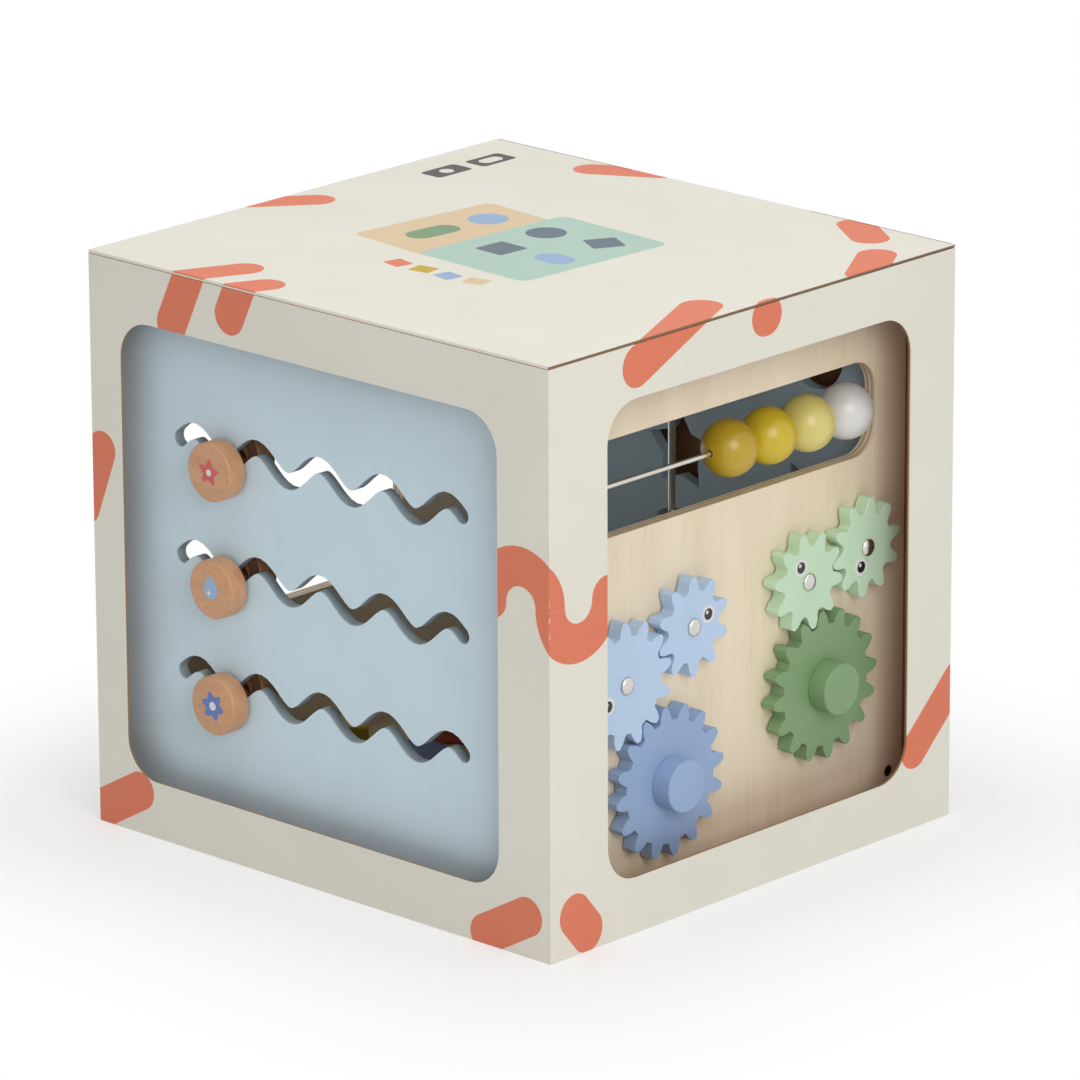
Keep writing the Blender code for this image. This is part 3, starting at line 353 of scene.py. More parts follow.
def print_groups():
    """The round-ended stroke, the half ring and the tile that the prints are made of."""
    tree, entry, leave = new_group("Round Stroke", ("Point", "Start", "End"), ("Half Width",), ("Mask",))
    reach = vector_calc(tree, "SUBTRACT", entry["Point"], entry["Start"])
    run = vector_calc(tree, "SUBTRACT", entry["End"], entry["Start"])
    along = vector_calc(tree, "DOT_PRODUCT", reach, run, "Value")
    whole = vector_calc(tree, "DOT_PRODUCT", run, run, "Value")
    share = add(tree, "ShaderNodeClamp", {"Value": calc(tree, "DIVIDE", along, whole)}).outputs[0]
    step = add(tree, "ShaderNodeVectorMath", {0: run, "Scale": share}, operation="SCALE").outputs[0]
    away = vector_calc(tree, "DISTANCE", reach, step, "Value")
    edge = calc(tree, "SUBTRACT", away, entry["Half Width"])
    tree.links.new(ramp(tree, edge, PRINT_BLUR, -PRINT_BLUR), leave["Mask"])

    tree, entry, leave = new_group(
        "Half Ring", ("Point", "Centre", "Facing"), ("Radius", "Half Width"), ("Mask",)
    )
    reach = vector_calc(tree, "SUBTRACT", entry["Point"], entry["Centre"])
    away = vector_calc(tree, "LENGTH", reach, (0, 0, 0), "Value")
    off_line = calc(tree, "ABSOLUTE", calc(tree, "SUBTRACT", away, entry["Radius"]))
    edge = calc(tree, "SUBTRACT", off_line, entry["Half Width"])
    side = vector_calc(tree, "DOT_PRODUCT", reach, entry["Facing"], "Value")
    on_ring = ramp(tree, edge, PRINT_BLUR, -PRINT_BLUR)
    mask = calc(tree, "MULTIPLY", on_ring, ramp(tree, side, -PRINT_BLUR, PRINT_BLUR))
    tree.links.new(mask, leave["Mask"])

    tree, entry, leave = new_group(
        "Round Tile", ("Point", "Centre", "Half Size"), ("Turn", "Corner"), ("Mask",)
    )
    reach = vector_calc(tree, "SUBTRACT", entry["Point"], entry["Centre"])
    turned = add(
        tree, "ShaderNodeVectorRotate", {"Vector": reach, "Angle": entry["Turn"]},
        rotation_type="Z_AXIS",
    ).outputs[0]
    fold = vector_calc(tree, "ABSOLUTE", turned, (0, 0, 0))
    inner = vector_calc(tree, "SUBTRACT", entry["Half Size"], pair(tree, entry["Corner"], entry["Corner"]))
    past = vector_calc(tree, "MAXIMUM", vector_calc(tree, "SUBTRACT", fold, inner), (0, 0, 0))
    away = vector_calc(tree, "LENGTH", past, (0, 0, 0), "Value")
    edge = calc(tree, "SUBTRACT", away, entry["Corner"])
    tree.links.new(ramp(tree, edge, PRINT_BLUR, -PRINT_BLUR), leave["Mask"])


def surface_groups():
    """The wood figure, the paint film and the board fibre that several materials share."""
    tree, entry, leave = new_group(
        "Wood Figure", ("Vector", "Stretch"), ("Scale",), ("Figure", "Pores", "Height")
    )
    grain = vector_calc(tree, "MULTIPLY", entry["Vector"], entry["Stretch"])
    broad = noise(tree, grain, entry["Scale"], 5.0, roughness=0.55, distortion=0.6)
    fine = noise(tree, grain, calc(tree, "MULTIPLY", entry["Scale"], 14.0), 3.0, roughness=0.6)
    pores = ramp(tree, fine, 0.56, 0.72)
    tree.links.new(ramp(tree, broad, 0.32, 0.70), leave["Figure"])
    tree.links.new(pores, leave["Pores"])
    tree.links.new(calc(tree, "SUBTRACT", fine, pores), leave["Height"])

    tree, entry, leave = new_group(
        "Paint Film", ("Vector",), ("Roughness",), ("Mottle", "Roughness", "Height")
    )
    cloud = noise(tree, entry["Vector"], 28.0, 4.0)
    peel = noise(tree, entry["Vector"], 900.0, 2.0)
    gloss = calc(tree, "MULTIPLY_ADD", cloud, 0.12, calc(tree, "SUBTRACT", entry["Roughness"], 0.06))
    tree.links.new(ramp(tree, cloud, 0.3, 0.7), leave["Mottle"])
    tree.links.new(gloss, leave["Roughness"])
    tree.links.new(peel, leave["Height"])

    tree, entry, leave = new_group("Board Fibre", ("Vector",), (), ("Tone", "Height"))
    tone = noise(tree, entry["Vector"], 14.0, 6.0)
    fibre = noise(tree, entry["Vector"], 1400.0, 2.0)
    flutes = add(
        tree, "ShaderNodeTexWave", {"Vector": entry["Vector"], "Scale": 62.0, "Distortion": 0.5},
        bands_direction="DIAGONAL",
    ).outputs["Fac"]
    tree.links.new(ramp(tree, tone, 0.3, 0.7), leave["Tone"])
    tree.links.new(calc(tree, "MULTIPLY_ADD", flutes, 0.25, fibre), leave["Height"])


def new_material(name, roughness, metallic=0.0, coat=0.0):
    """A material and its tree and shader, with the values that don't change over the surface."""
    material = bpy.data.materials.new(name)
    material.use_nodes = True
    tree = material.node_tree
    shader = tree.nodes["Principled BSDF"]
    shader.inputs["Roughness"].default_value = roughness
    shader.inputs["Metallic"].default_value = metallic
    shader.inputs["Coat Weight"].default_value = coat
    return material, tree, shader


def feed(tree, shader, tone, roughness=None):
    """Link a colour, and a roughness where it varies, to a shader."""
    tree.links.new(tone, shader.inputs["Base Color"])
    if roughness is not None:
        tree.links.new(roughness, shader.inputs["Roughness"])


def bump(tree, shader, height, distance, strength):
    """Raise the surface by a height."""
    inputs = {"Height": height, "Distance": distance, "Strength": strength}
    tree.links.new(add(tree, "ShaderNodeBump", inputs).outputs[0], shader.inputs["Normal"])


def shade(values, factor):
    """A colour made darker or lighter."""
    return tuple(min(1.0, value * factor) for value in values[:3])


def flat(point):
    """A printed point as a vector."""
    return (point[0], point[1], 0.0)


def marks_mask(tree, point, strokes, bows):
    """Where any of the strokes and half rings is printed."""
    mask = 0.0
    for start, end, half_width in strokes:
        inputs = {"Point": point, "Start": flat(start), "End": flat(end), "Half Width": half_width}
        mask = calc(tree, "MAXIMUM", group_node(tree, "Round Stroke", inputs)["Mask"], mask)
    for centre, facing, radius, half_width in bows:
        turn = math.radians(facing)
        inputs = {
            "Point": point, "Centre": flat(centre), "Facing": (math.cos(turn), math.sin(turn), 0.0),
            "Radius": radius, "Half Width": half_width,
        }
        mask = calc(tree, "MAXIMUM", group_node(tree, "Half Ring", inputs)["Mask"], mask)
    return mask


def board_finish(tree, shader, coordinate, printed):
    """The coated board's tone and fibre under a printed colour."""
    fibre = group_node(tree, "Board Fibre", {"Vector": coordinate})
    toned = mix(tree, calc(tree, "MULTIPLY", fibre["Tone"], 0.05), printed, colours().core)
    feed(tree, shader, toned)
    bump(tree, shader, fibre["Height"], 0.00004, 0.35)


def sleeve_material():
    """Coated board with coral strokes that run round the corners, plain inside, fluted at cuts."""
    settings = colours()
    material, tree, shader = new_material("printed_sleeve", 0.55)
    coordinate, x, y, z = place_of(tree)
    front = calc(tree, "LESS_THAN", y, -HALF_DEPTH + BOARD_SKIN)
    right = calc(tree, "GREATER_THAN", x, HALF_WIDTH - BOARD_SKIN)
    back = calc(tree, "GREATER_THAN", y, HALF_DEPTH - BOARD_SKIN)
    left = calc(tree, "LESS_THAN", x, -HALF_WIDTH + BOARD_SKIN)
    near_pair = calc(tree, "MAXIMUM", front, right)
    outside = calc(tree, "MAXIMUM", near_pair, calc(tree, "MAXIMUM", back, left))
    longer = HALF_WIDTH - HALF_DEPTH
    shift = calc(tree, "MULTIPLY_ADD", near_pair, -2 * longer, longer)
    point = pair(tree, calc(tree, "ADD", calc(tree, "ADD", x, y), shift), z)
    mask = calc(tree, "MULTIPLY", marks_mask(tree, point, WALL_STROKES, WALL_BOWS), outside)
    depth_x = calc(tree, "SUBTRACT", HALF_WIDTH, calc(tree, "ABSOLUTE", x))
    depth_y = calc(tree, "SUBTRACT", HALF_DEPTH, calc(tree, "ABSOLUTE", y))
    fold = calc(tree, "ADD", depth_x, depth_y)
    rubbed = noise(tree, coordinate, 160.0, 4.0)
    wear = calc(tree, "MULTIPLY", ramp(tree, fold, BOARD_SKIN, 0.0002), ramp(tree, rubbed, 0.5, 0.7))
    wear = calc(tree, "MULTIPLY", wear, 0.55)
    nearest = calc(tree, "MINIMUM", depth_x, depth_y)
    under_skin = ramp(tree, nearest, 0.0004, 0.0007)
    core = calc(tree, "MULTIPLY", under_skin, ramp(tree, nearest, LINER_END, LINER_DEPTH))
    inside = calc(tree, "GREATER_THAN", nearest, LINER_DEPTH)
    printed = mix(tree, mask, settings.board, settings.coral)
    printed = mix(tree, wear, printed, shade(settings.board, 1.12))
    printed = mix(tree, core, printed, settings.core)
    printed = mix(tree, inside, printed, settings.liner)
    board_finish(tree, shader, coordinate, printed)
    return material


def lid_material():
    """Coated board with the strokes that come over the folds and a flat picture on top."""
    settings = colours()
    material, tree, shader = new_material("printed_lid", 0.55)
    coordinate, x, y, z = place_of(tree)
    rise = calc(tree, "ADD", z, calc(tree, "ADD", y, HALF_DEPTH))
    from_front = pair(tree, calc(tree, "SUBTRACT", x, HALF_WIDTH), rise)
    side_rise = calc(tree, "ADD", z, calc(tree, "SUBTRACT", HALF_WIDTH, x))
    from_right = pair(tree, calc(tree, "ADD", y, HALF_DEPTH), side_rise)
    over_front = [stroke for stroke in WALL_STROKES if stroke[0][0] < 0]
    over_right = [stroke for stroke in WALL_STROKES if stroke[0][0] > 0]
    mask = calc(
        tree, "MAXIMUM",
        marks_mask(tree, from_front, [*over_front, *TOP_STROKES], ()),
        marks_mask(tree, from_right, over_right, ()),
    )
    top_skin = calc(tree, "GREATER_THAN", z, HEIGHT - BOARD_SKIN)
    printed = mix(tree, calc(tree, "MULTIPLY", mask, top_skin), settings.board, settings.coral)
    for centre, half_size, turn, corner, name in TOP_TILES:
        inputs = {
            "Point": from_front, "Centre": flat(centre), "Half Size": flat(half_size),
            "Turn": math.radians(turn), "Corner": corner,
        }
        tile = calc(tree, "MULTIPLY", group_node(tree, "Round Tile", inputs)["Mask"], top_skin)
        printed = mix(tree, tile, printed, getattr(settings, name))
    cut_edge = calc(tree, "GREATER_THAN", calc(tree, "ABSOLUTE", x), HALF_WIDTH - CORE_DEPTH)
    under_skin = calc(tree, "LESS_THAN", z, HEIGHT - CORE_DEPTH)
    # The cut edge shows the fluted core; its darker bands are painted shade in the hollows between the
    # flutes.
    flutes = add(
        tree, "ShaderNodeTexWave", {"Vector": coordinate, "Scale": 150.0}, bands_direction="Y"
    ).outputs["Fac"]
    core = mix(tree, flutes, shade(settings.core, 0.35), settings.core)
    printed = mix(tree, calc(tree, "MULTIPLY", cut_edge, under_skin), printed, core)
    underside = calc(tree, "LESS_THAN", z, HEIGHT - LINER_END)
    printed = mix(tree, underside, printed, settings.liner)
    board_finish(tree, shader, coordinate, printed)
    return material


def plain_board_material():
    """Uncoated board for the flaps and the bottom."""
    material, tree, shader = new_material("plain_board", 0.7)
    coordinate, *_ = place_of(tree)
    board_finish(tree, shader, coordinate, colours().liner)
    return material


def plywood_material(name, axis, middle, thickness):
    """Birch plywood: figured faces, and cross plies where the panel's edges show."""
    settings = colours()
    material, tree, shader = new_material(name, 0.5)
    coordinate, x, y, z = place_of(tree)
    wood = group_node(tree, "Wood Figure", {"Vector": coordinate, "Stretch": (1.0, 1.0, 0.07), "Scale": 26.0})
    face = mix(tree, calc(tree, "MULTIPLY", wood["Figure"], 0.22), settings.birch, settings.birch_dark)
    face = mix(tree, calc(tree, "MULTIPLY", wood["Pores"], 0.16), face, shade(settings.birch_dark, 0.75))
    depth = calc(tree, "DIVIDE", calc(tree, "SUBTRACT", (x, y, z)[axis], middle), thickness)
    plies = calc(tree, "PINGPONG", calc(tree, "MULTIPLY", depth, 5.0), 1.0)
    edge_colour = mix(tree, ramp(tree, plies, 0.30, 0.70), settings.birch, settings.birch_dark)
    normal = add(tree, "ShaderNodeNewGeometry").outputs["True Normal"]
    across = calc(tree, "ABSOLUTE", add(tree, "ShaderNodeSeparateXYZ", {0: normal}).outputs[axis])
    on_edge = ramp(tree, across, 0.55, 0.35)
    gloss = calc(tree, "MULTIPLY_ADD", wood["Figure"], 0.12, 0.42)
    feed(tree, shader, mix(tree, on_edge, face, edge_colour), gloss)
    bump(tree, shader, wood["Height"], 0.00006, 0.3)
    return material


def beech_material():
    """Clear-varnished beech with short flecks."""
    settings = colours()
    material, tree, shader = new_material("beech", 0.45, coat=0.12)
    coordinate, *_ = place_of(tree)
    wood = group_node(tree, "Wood Figure", {"Vector": coordinate, "Stretch": (0.25, 1.0, 1.0), "Scale": 90.0})
    tone = mix(tree, calc(tree, "MULTIPLY", wood["Figure"], 0.30), settings.beech, settings.beech_dark)
    tone = mix(tree, calc(tree, "MULTIPLY", wood["Pores"], 0.45), tone, shade(settings.beech_dark, 0.7))
    feed(tree, shader, tone, calc(tree, "MULTIPLY_ADD", wood["Pores"], 0.2, 0.40))
    bump(tree, shader, wood["Height"], 0.00008, 0.35)
    return material


def painted_material(name, tint, roughness=0.48, grain=0.06, coat=0.0, face=None):
    """Satin paint on wood, with a little grain coming through; behind a face it is drawn darker, as painted
    shade on the recessed walls.
    """
    material, tree, shader = new_material(name, roughness, coat=coat)
    coordinate, _, y, _ = place_of(tree)
    film = group_node(tree, "Paint Film", {"Vector": coordinate, "Roughness": roughness})
    wood = group_node(tree, "Wood Figure", {"Vector": coordinate, "Stretch": (1.0, 1.0, 0.12), "Scale": 60.0})
    tone = mix(tree, calc(tree, "MULTIPLY", film["Mottle"], 0.5), shade(tint, 0.97), shade(tint, 1.03))
    tone = mix(tree, calc(tree, "MULTIPLY", wood["Figure"], grain), tone, shade(tint, 0.62))
    if face is not None:
        # Painted shade: deeper than the face, down the walls of the slots, the paint is darkened as if in
        # shadow.
        tone = mix(tree, ramp(tree, y, face + 0.0004, face + 0.0016), tone, shade(tint, 0.52))
    feed(tree, shader, tone, film["Roughness"])
    relief = calc(tree, "MULTIPLY_ADD", wood["Height"], grain * 4.0, film["Height"])
    bump(tree, shader, relief, 0.00005, 0.3)
    return material


def metal_material(name, tint, roughness):
    """Metal with a fine uneven polish."""
    material, tree, shader = new_material(name, roughness, metallic=1.0)
    coordinate, *_ = place_of(tree)
    rub = noise(tree, coordinate, 500.0, 4.0)
    tone = mix(tree, rub, shade(tint, 0.94), shade(tint, 1.04))
    feed(tree, shader, tone, calc(tree, "MULTIPLY_ADD", rub, 0.14, roughness - 0.07))
    return material


def felt_material():
    """Pressed felt."""
    material, tree, shader = new_material("felt", 0.95)
    coordinate, *_ = place_of(tree)
    fuzz = noise(tree, coordinate, 1200.0, 4.0)
    tint = colours().felt
    feed(tree, shader, mix(tree, fuzz, shade(tint, 0.8), shade(tint, 1.1)))
    bump(tree, shader, fuzz, 0.0002, 0.6)
    return material


def ink_material(name, tint, roughness=0.4):
    """Printed ink, a little uneven."""
    material, tree, shader = new_material(name, roughness)
    coordinate, *_ = place_of(tree)
    film = group_node(tree, "Paint Film", {"Vector": coordinate, "Roughness": roughness})
    tone = mix(tree, film["Mottle"], shade(tint, 0.92), shade(tint, 1.06))
    feed(tree, shader, tone, film["Roughness"])
    return material


# Modelling

def select_only(piece):
    """Make one object the selected and active one."""
    for obj in bpy.context.selected_objects:
        obj.select_set(False)
    piece.select_set(True)
    bpy.context.view_layer.objects.active = piece


def start_edit(piece):
    """Edit one object, with all of it selected."""
    select_only(piece)
    bpy.ops.object.mode_set(mode="EDIT")
    bpy.ops.mesh.select_all(action="SELECT")


def end_edit():
    """Leave edit mode."""
    bpy.ops.object.mode_set(mode="OBJECT")


def clean_up(piece):
    """Merge doubles and turn the faces outwards."""
    start_edit(piece)
    bpy.ops.mesh.remove_doubles(threshold=1e-6)
    bpy.ops.mesh.normals_make_consistent(inside=False)
    end_edit()


def copy_of_node(node, name):
    """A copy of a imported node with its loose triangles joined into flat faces."""
    piece = bpy.data.objects.new(name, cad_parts[node].data.copy())
    bpy.context.scene.collection.objects.link(piece)
    piece.data.materials.clear()
    start_edit(piece)
    bpy.ops.mesh.customdata_custom_splitnormals_clear()
    bpy.ops.mesh.remove_doubles(threshold=1e-6)
    bpy.ops.mesh.select_all(action="SELECT")
    bpy.ops.mesh.mark_sharp(clear=True)
    bpy.ops.mesh.dissolve_limited(angle_limit=math.radians(0.5))
    end_edit()
    return piece


def round_edges(piece, width, segments=2, angle=50.0, left_sharp=None):
    """Round the edges sharper than an angle, apart from those whose ends lie in a place left sharp."""
    start_edit(piece)
    bpy.ops.mesh.select_mode(type="EDGE")
    bpy.ops.mesh.select_all(action="DESELECT")
    bpy.ops.mesh.edges_select_sharp(sharpness=math.radians(angle))
    if left_sharp is not None:
        shape = bmesh.from_edit_mesh(piece.data)
        for edge in shape.edges:
            if all(left_sharp(vertex) for vertex in edge.verts):
                edge.select_set(False)
        bmesh.update_edit_mesh(piece.data)
    bpy.ops.mesh.bevel(offset=width, segments=segments, affect="EDGES", clamp_overlap=True)
    end_edit()
    smooth(piece, 40.0)
    even_shading(piece)


def even_shading(piece):
    """Keep the wide faces flat to the light, so that only the rounded edges between them shade."""
    select_only(piece)
    bpy.ops.object.modifier_add(type="WEIGHTED_NORMAL")
    weighting = piece.modifiers[-1]
    weighting.keep_sharp = True
    weighting.weight = 100
    bpy.ops.object.modifier_apply(modifier=weighting.name)


def edit_points(piece, chosen):
    """Edit one object, with only the chosen points selected."""
    start_edit(piece)
    bpy.ops.mesh.select_mode(type="VERT")
    shape = bmesh.from_edit_mesh(piece.data)
    for vertex in shape.verts:
        vertex.select_set(chosen(vertex))
    shape.select_flush_mode()
    bmesh.update_edit_mesh(piece.data)


def cut_away(piece, centre, size, turn=0.0):
    """Cut a box out of a piece."""
    bpy.ops.mesh.primitive_cube_add(size=1.0, location=centre, rotation=(0.0, 0.0, turn))
    cutter = bpy.context.object
    cutter.scale = size
    select_only(piece)
    bpy.ops.object.modifier_add(type="BOOLEAN")
    cut = piece.modifiers[-1]
    cut.operation = "DIFFERENCE"
    cut.object = cutter
    bpy.ops.object.modifier_apply(modifier=cut.name)
    discard(cutter)


def turned(name, profile, steps):
    """Extrude and resize a disc along a profile of (radius, height) pairs; both ends are closed."""
    for obj in bpy.context.selected_objects:
        obj.select_set(False)
    radius, height = profile[0]
    bpy.ops.mesh.primitive_circle_add(vertices=steps, radius=radius, fill_type="NGON")
    piece = bpy.context.object
    piece.name = name
    start_edit(piece)
    bpy.ops.transform.translate(value=(0, 0, height))
    for next_radius, next_height in profile[1:]:
        rise = {"value": (0, 0, next_height - height)}
        bpy.ops.mesh.extrude_region_move(TRANSFORM_OT_translate=rise)
        grow = next_radius / radius
        bpy.ops.transform.resize(value=(grow, grow, 1.0))
        radius, height = next_radius, next_height
    end_edit()
    return piece


def bore_through(piece):
    """Join the two closed ends of a turned piece into a hole along its axis."""
    start_edit(piece)
    bpy.ops.mesh.select_mode(type="FACE")
    bpy.ops.mesh.select_all(action="DESELECT")
    bpy.ops.mesh.select_face_by_sides(number=4, type="GREATER")
    bpy.ops.mesh.bridge_edge_loops()
    end_edit()
    clean_up(piece)


def smooth(piece, angle):
    """Shade a piece smooth across edges flatter than an angle."""
    select_only(piece)
    bpy.ops.object.shade_smooth_by_angle(angle=math.radians(angle))


def quarter(centre_radius, centre_height, radius, start, steps=4):
    """Points of a rounded edge in a profile, a quarter turn anticlockwise from a start in degrees."""
    points = []
    for step in range(steps + 1):
        angle = math.radians(start + 90.0 * step / steps)
        points.append((centre_radius + radius * math.cos(angle), centre_height + radius * math.sin(angle)))
    return points


def settle(piece, place):
    """Move a piece to its place and leave its object at the origin."""
    piece.matrix_world = place
    select_only(piece)
    bpy.ops.object.transform_apply(location=True, rotation=True, scale=True)


def twin(piece, name):
    """A copy of a piece with its own mesh."""
    copy = bpy.data.objects.new(name, piece.data.copy())
    bpy.context.scene.collection.objects.link(copy)
    return copy


def discard(piece):
    """Remove a blank once its copies are made."""
    bpy.data.objects.remove(piece, do_unlink=True)


def finish_piece(piece, material, body, slot, *nodes):
    """Give a piece its finish, its body and the nodes it stands for."""
    piece.data.materials.clear()
    piece.data.materials.append(material)
    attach(piece, body)
    if nodes:
        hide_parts(*nodes)


def dress(node, material):
    """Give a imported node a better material."""
    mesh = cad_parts[node].data
    mesh.materials.clear()
    mesh.materials.append(material)


def middle(node):
    """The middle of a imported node."""
    low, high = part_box(node)
    return (low + high) / 2


class ACTIVITYCUBE_OT_carton(bpy.types.Operator):
    """Build the printed carton with its lid and flaps"""
    bl_idname = "activity_cube.carton"
    bl_label = "Carton"

    def execute(self, context):
        edge = sizes().board_edge
        wall_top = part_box("carton_sleeve")[1].z
        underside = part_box("carton_lid")[0].z

        def at_fold(vertex):
            place = vertex.co
            near_gap = wall_top - FOLD_REACH < place.z < underside + FOLD_REACH
            return near_gap and place.y < FOLD_REACH - HALF_DEPTH

        sleeve = copy_of_node("carton_sleeve", "board_sleeve")
        round_edges(sleeve, edge, left_sharp=at_fold)
        finish_piece(sleeve, sleeve_material(), ROOT, "carton_board", "carton_sleeve")
        lid = copy_of_node("carton_lid", "board_lid")
        edit_points(lid, at_fold)
        bpy.ops.transform.translate(value=(0, 0, wall_top - underside + FOLD_GAP))
        end_edit()
        round_edges(lid, edge, left_sharp=at_fold)
        self.cut_lock_slits(lid)
        finish_piece(lid, lid_material(), "lid", "carton_board", "carton_lid")
        plain = plain_board_material()
        flaps = (
            ("lid_tuck_flap", "tuck_flap"),
            ("dust_flap_left", "left_dust_flap"),
            ("dust_flap_right", "right_dust_flap"),
            ("carton_bottom", ROOT),
        )
        for node, body in flaps:
            flap = copy_of_node(node, f"board_{node}")
            round_edges(flap, edge / 2)
            finish_piece(flap, plain, body, "carton_board", node)
        return {"FINISHED"}

    def cut_lock_slits(self, lid):
        """Slits at both ends of the back fold, where the tuck flap locks."""
        long = sizes().slit_length
        wide = sizes().slit_width
        for side in (-1, 1):
            centre = (side * (HALF_WIDTH - long / 2), HALF_DEPTH - 1.1 * wide, HEIGHT)
            cut_away(lid, centre, (long - 0.004, wide, 0.01))
        smooth(lid, 40.0)
        even_shading(lid)


class ACTIVITYCUBE_OT_panels(bpy.types.Operator):
    """Build the six plywood panels of the cube"""
    bl_idname = "activity_cube.panels"
    bl_label = "Panels"

    def execute(self, context):
        settings = colours()
        front = copy_of_node("front_panel", "slot_panel")
        round_edges(front, sizes().slot_edge)
        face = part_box("front_panel")[0].y
        # The slot walls behind the face get painted shade.
        paint = painted_material("front_paint", settings.front_paint, roughness=0.5, grain=0.03, face=face)
        finish_piece(front, paint, ROOT, "pale_blue_paint", "front_panel")
        back = copy_of_node("back_panel", "sorter_panel")
        round_edges(back, sizes().ply_edge)
        paint = painted_material("back_paint", settings.back_paint, roughness=0.5, grain=0.03)
        finish_piece(back, paint, ROOT, "slate_blue_paint", "back_panel")
        plies = (("right_panel", 0), ("left_panel", 0), ("top_panel", 2), ("base_panel", 2))
        for node, axis in plies:
            low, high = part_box(node)
            material = plywood_material(f"birch_{node}", axis, middle(node)[axis], high[axis] - low[axis])
            panel = copy_of_node(node, f"ply_{node}")
            round_edges(panel, sizes().ply_edge)
            finish_piece(panel, material, ROOT, "birch_plywood", node)
        return {"FINISHED"}


def rosette_print(name, points, radius, waist, softness):
    """A flat shape with round points: every other corner of a disc drawn in, the outer ones rounded."""
    bpy.ops.mesh.primitive_circle_add(vertices=2 * points, radius=radius, fill_type="NGON")
    piece = bpy.context.object
    piece.name = name
    edit_points(piece, lambda vertex: vertex.index % 2 == 1)
    bpy.ops.transform.resize(value=(waist, waist, 1.0), center_override=(0, 0, 0))
    bpy.ops.mesh.select_all(action="INVERT")
    bpy.ops.mesh.bevel(offset=softness, segments=8, affect="VERTICES")
    end_edit()
    return piece


def star_print(name):
    """A five-pointed star with soft points."""
    return rosette_print(name, 5, 0.0088, 0.52, 0.0012)


def flower_print(name):
    """A flower with six round petals."""
    return rosette_print(name, 6, 0.0125, 0.44, 0.0070)


def drop_print(name):
    """A drop, round below and pointed above."""
    radius = 0.0056
    bpy.ops.mesh.primitive_circle_add(vertices=48, radius=radius, fill_type="NGON")
    piece = bpy.context.object
    piece.name = name
    # From the top down: where a band starts, as a share of the radius, its squeeze and its lift.
    bands = ((0.90, 0.72, 0.0008), (0.75, 0.82, 0.0008), (0.55, 0.90, 0.0006), (0.30, 0.96, 0.0004))
    for level, squeeze, lift in bands:
        edit_points(piece, lambda vertex: vertex.co.y > level * radius)
        bpy.ops.transform.resize(value=(squeeze, 1.0, 1.0), center_override=(0, 0, 0))
        bpy.ops.transform.translate(value=(0, lift, 0))
        end_edit()
    return piece


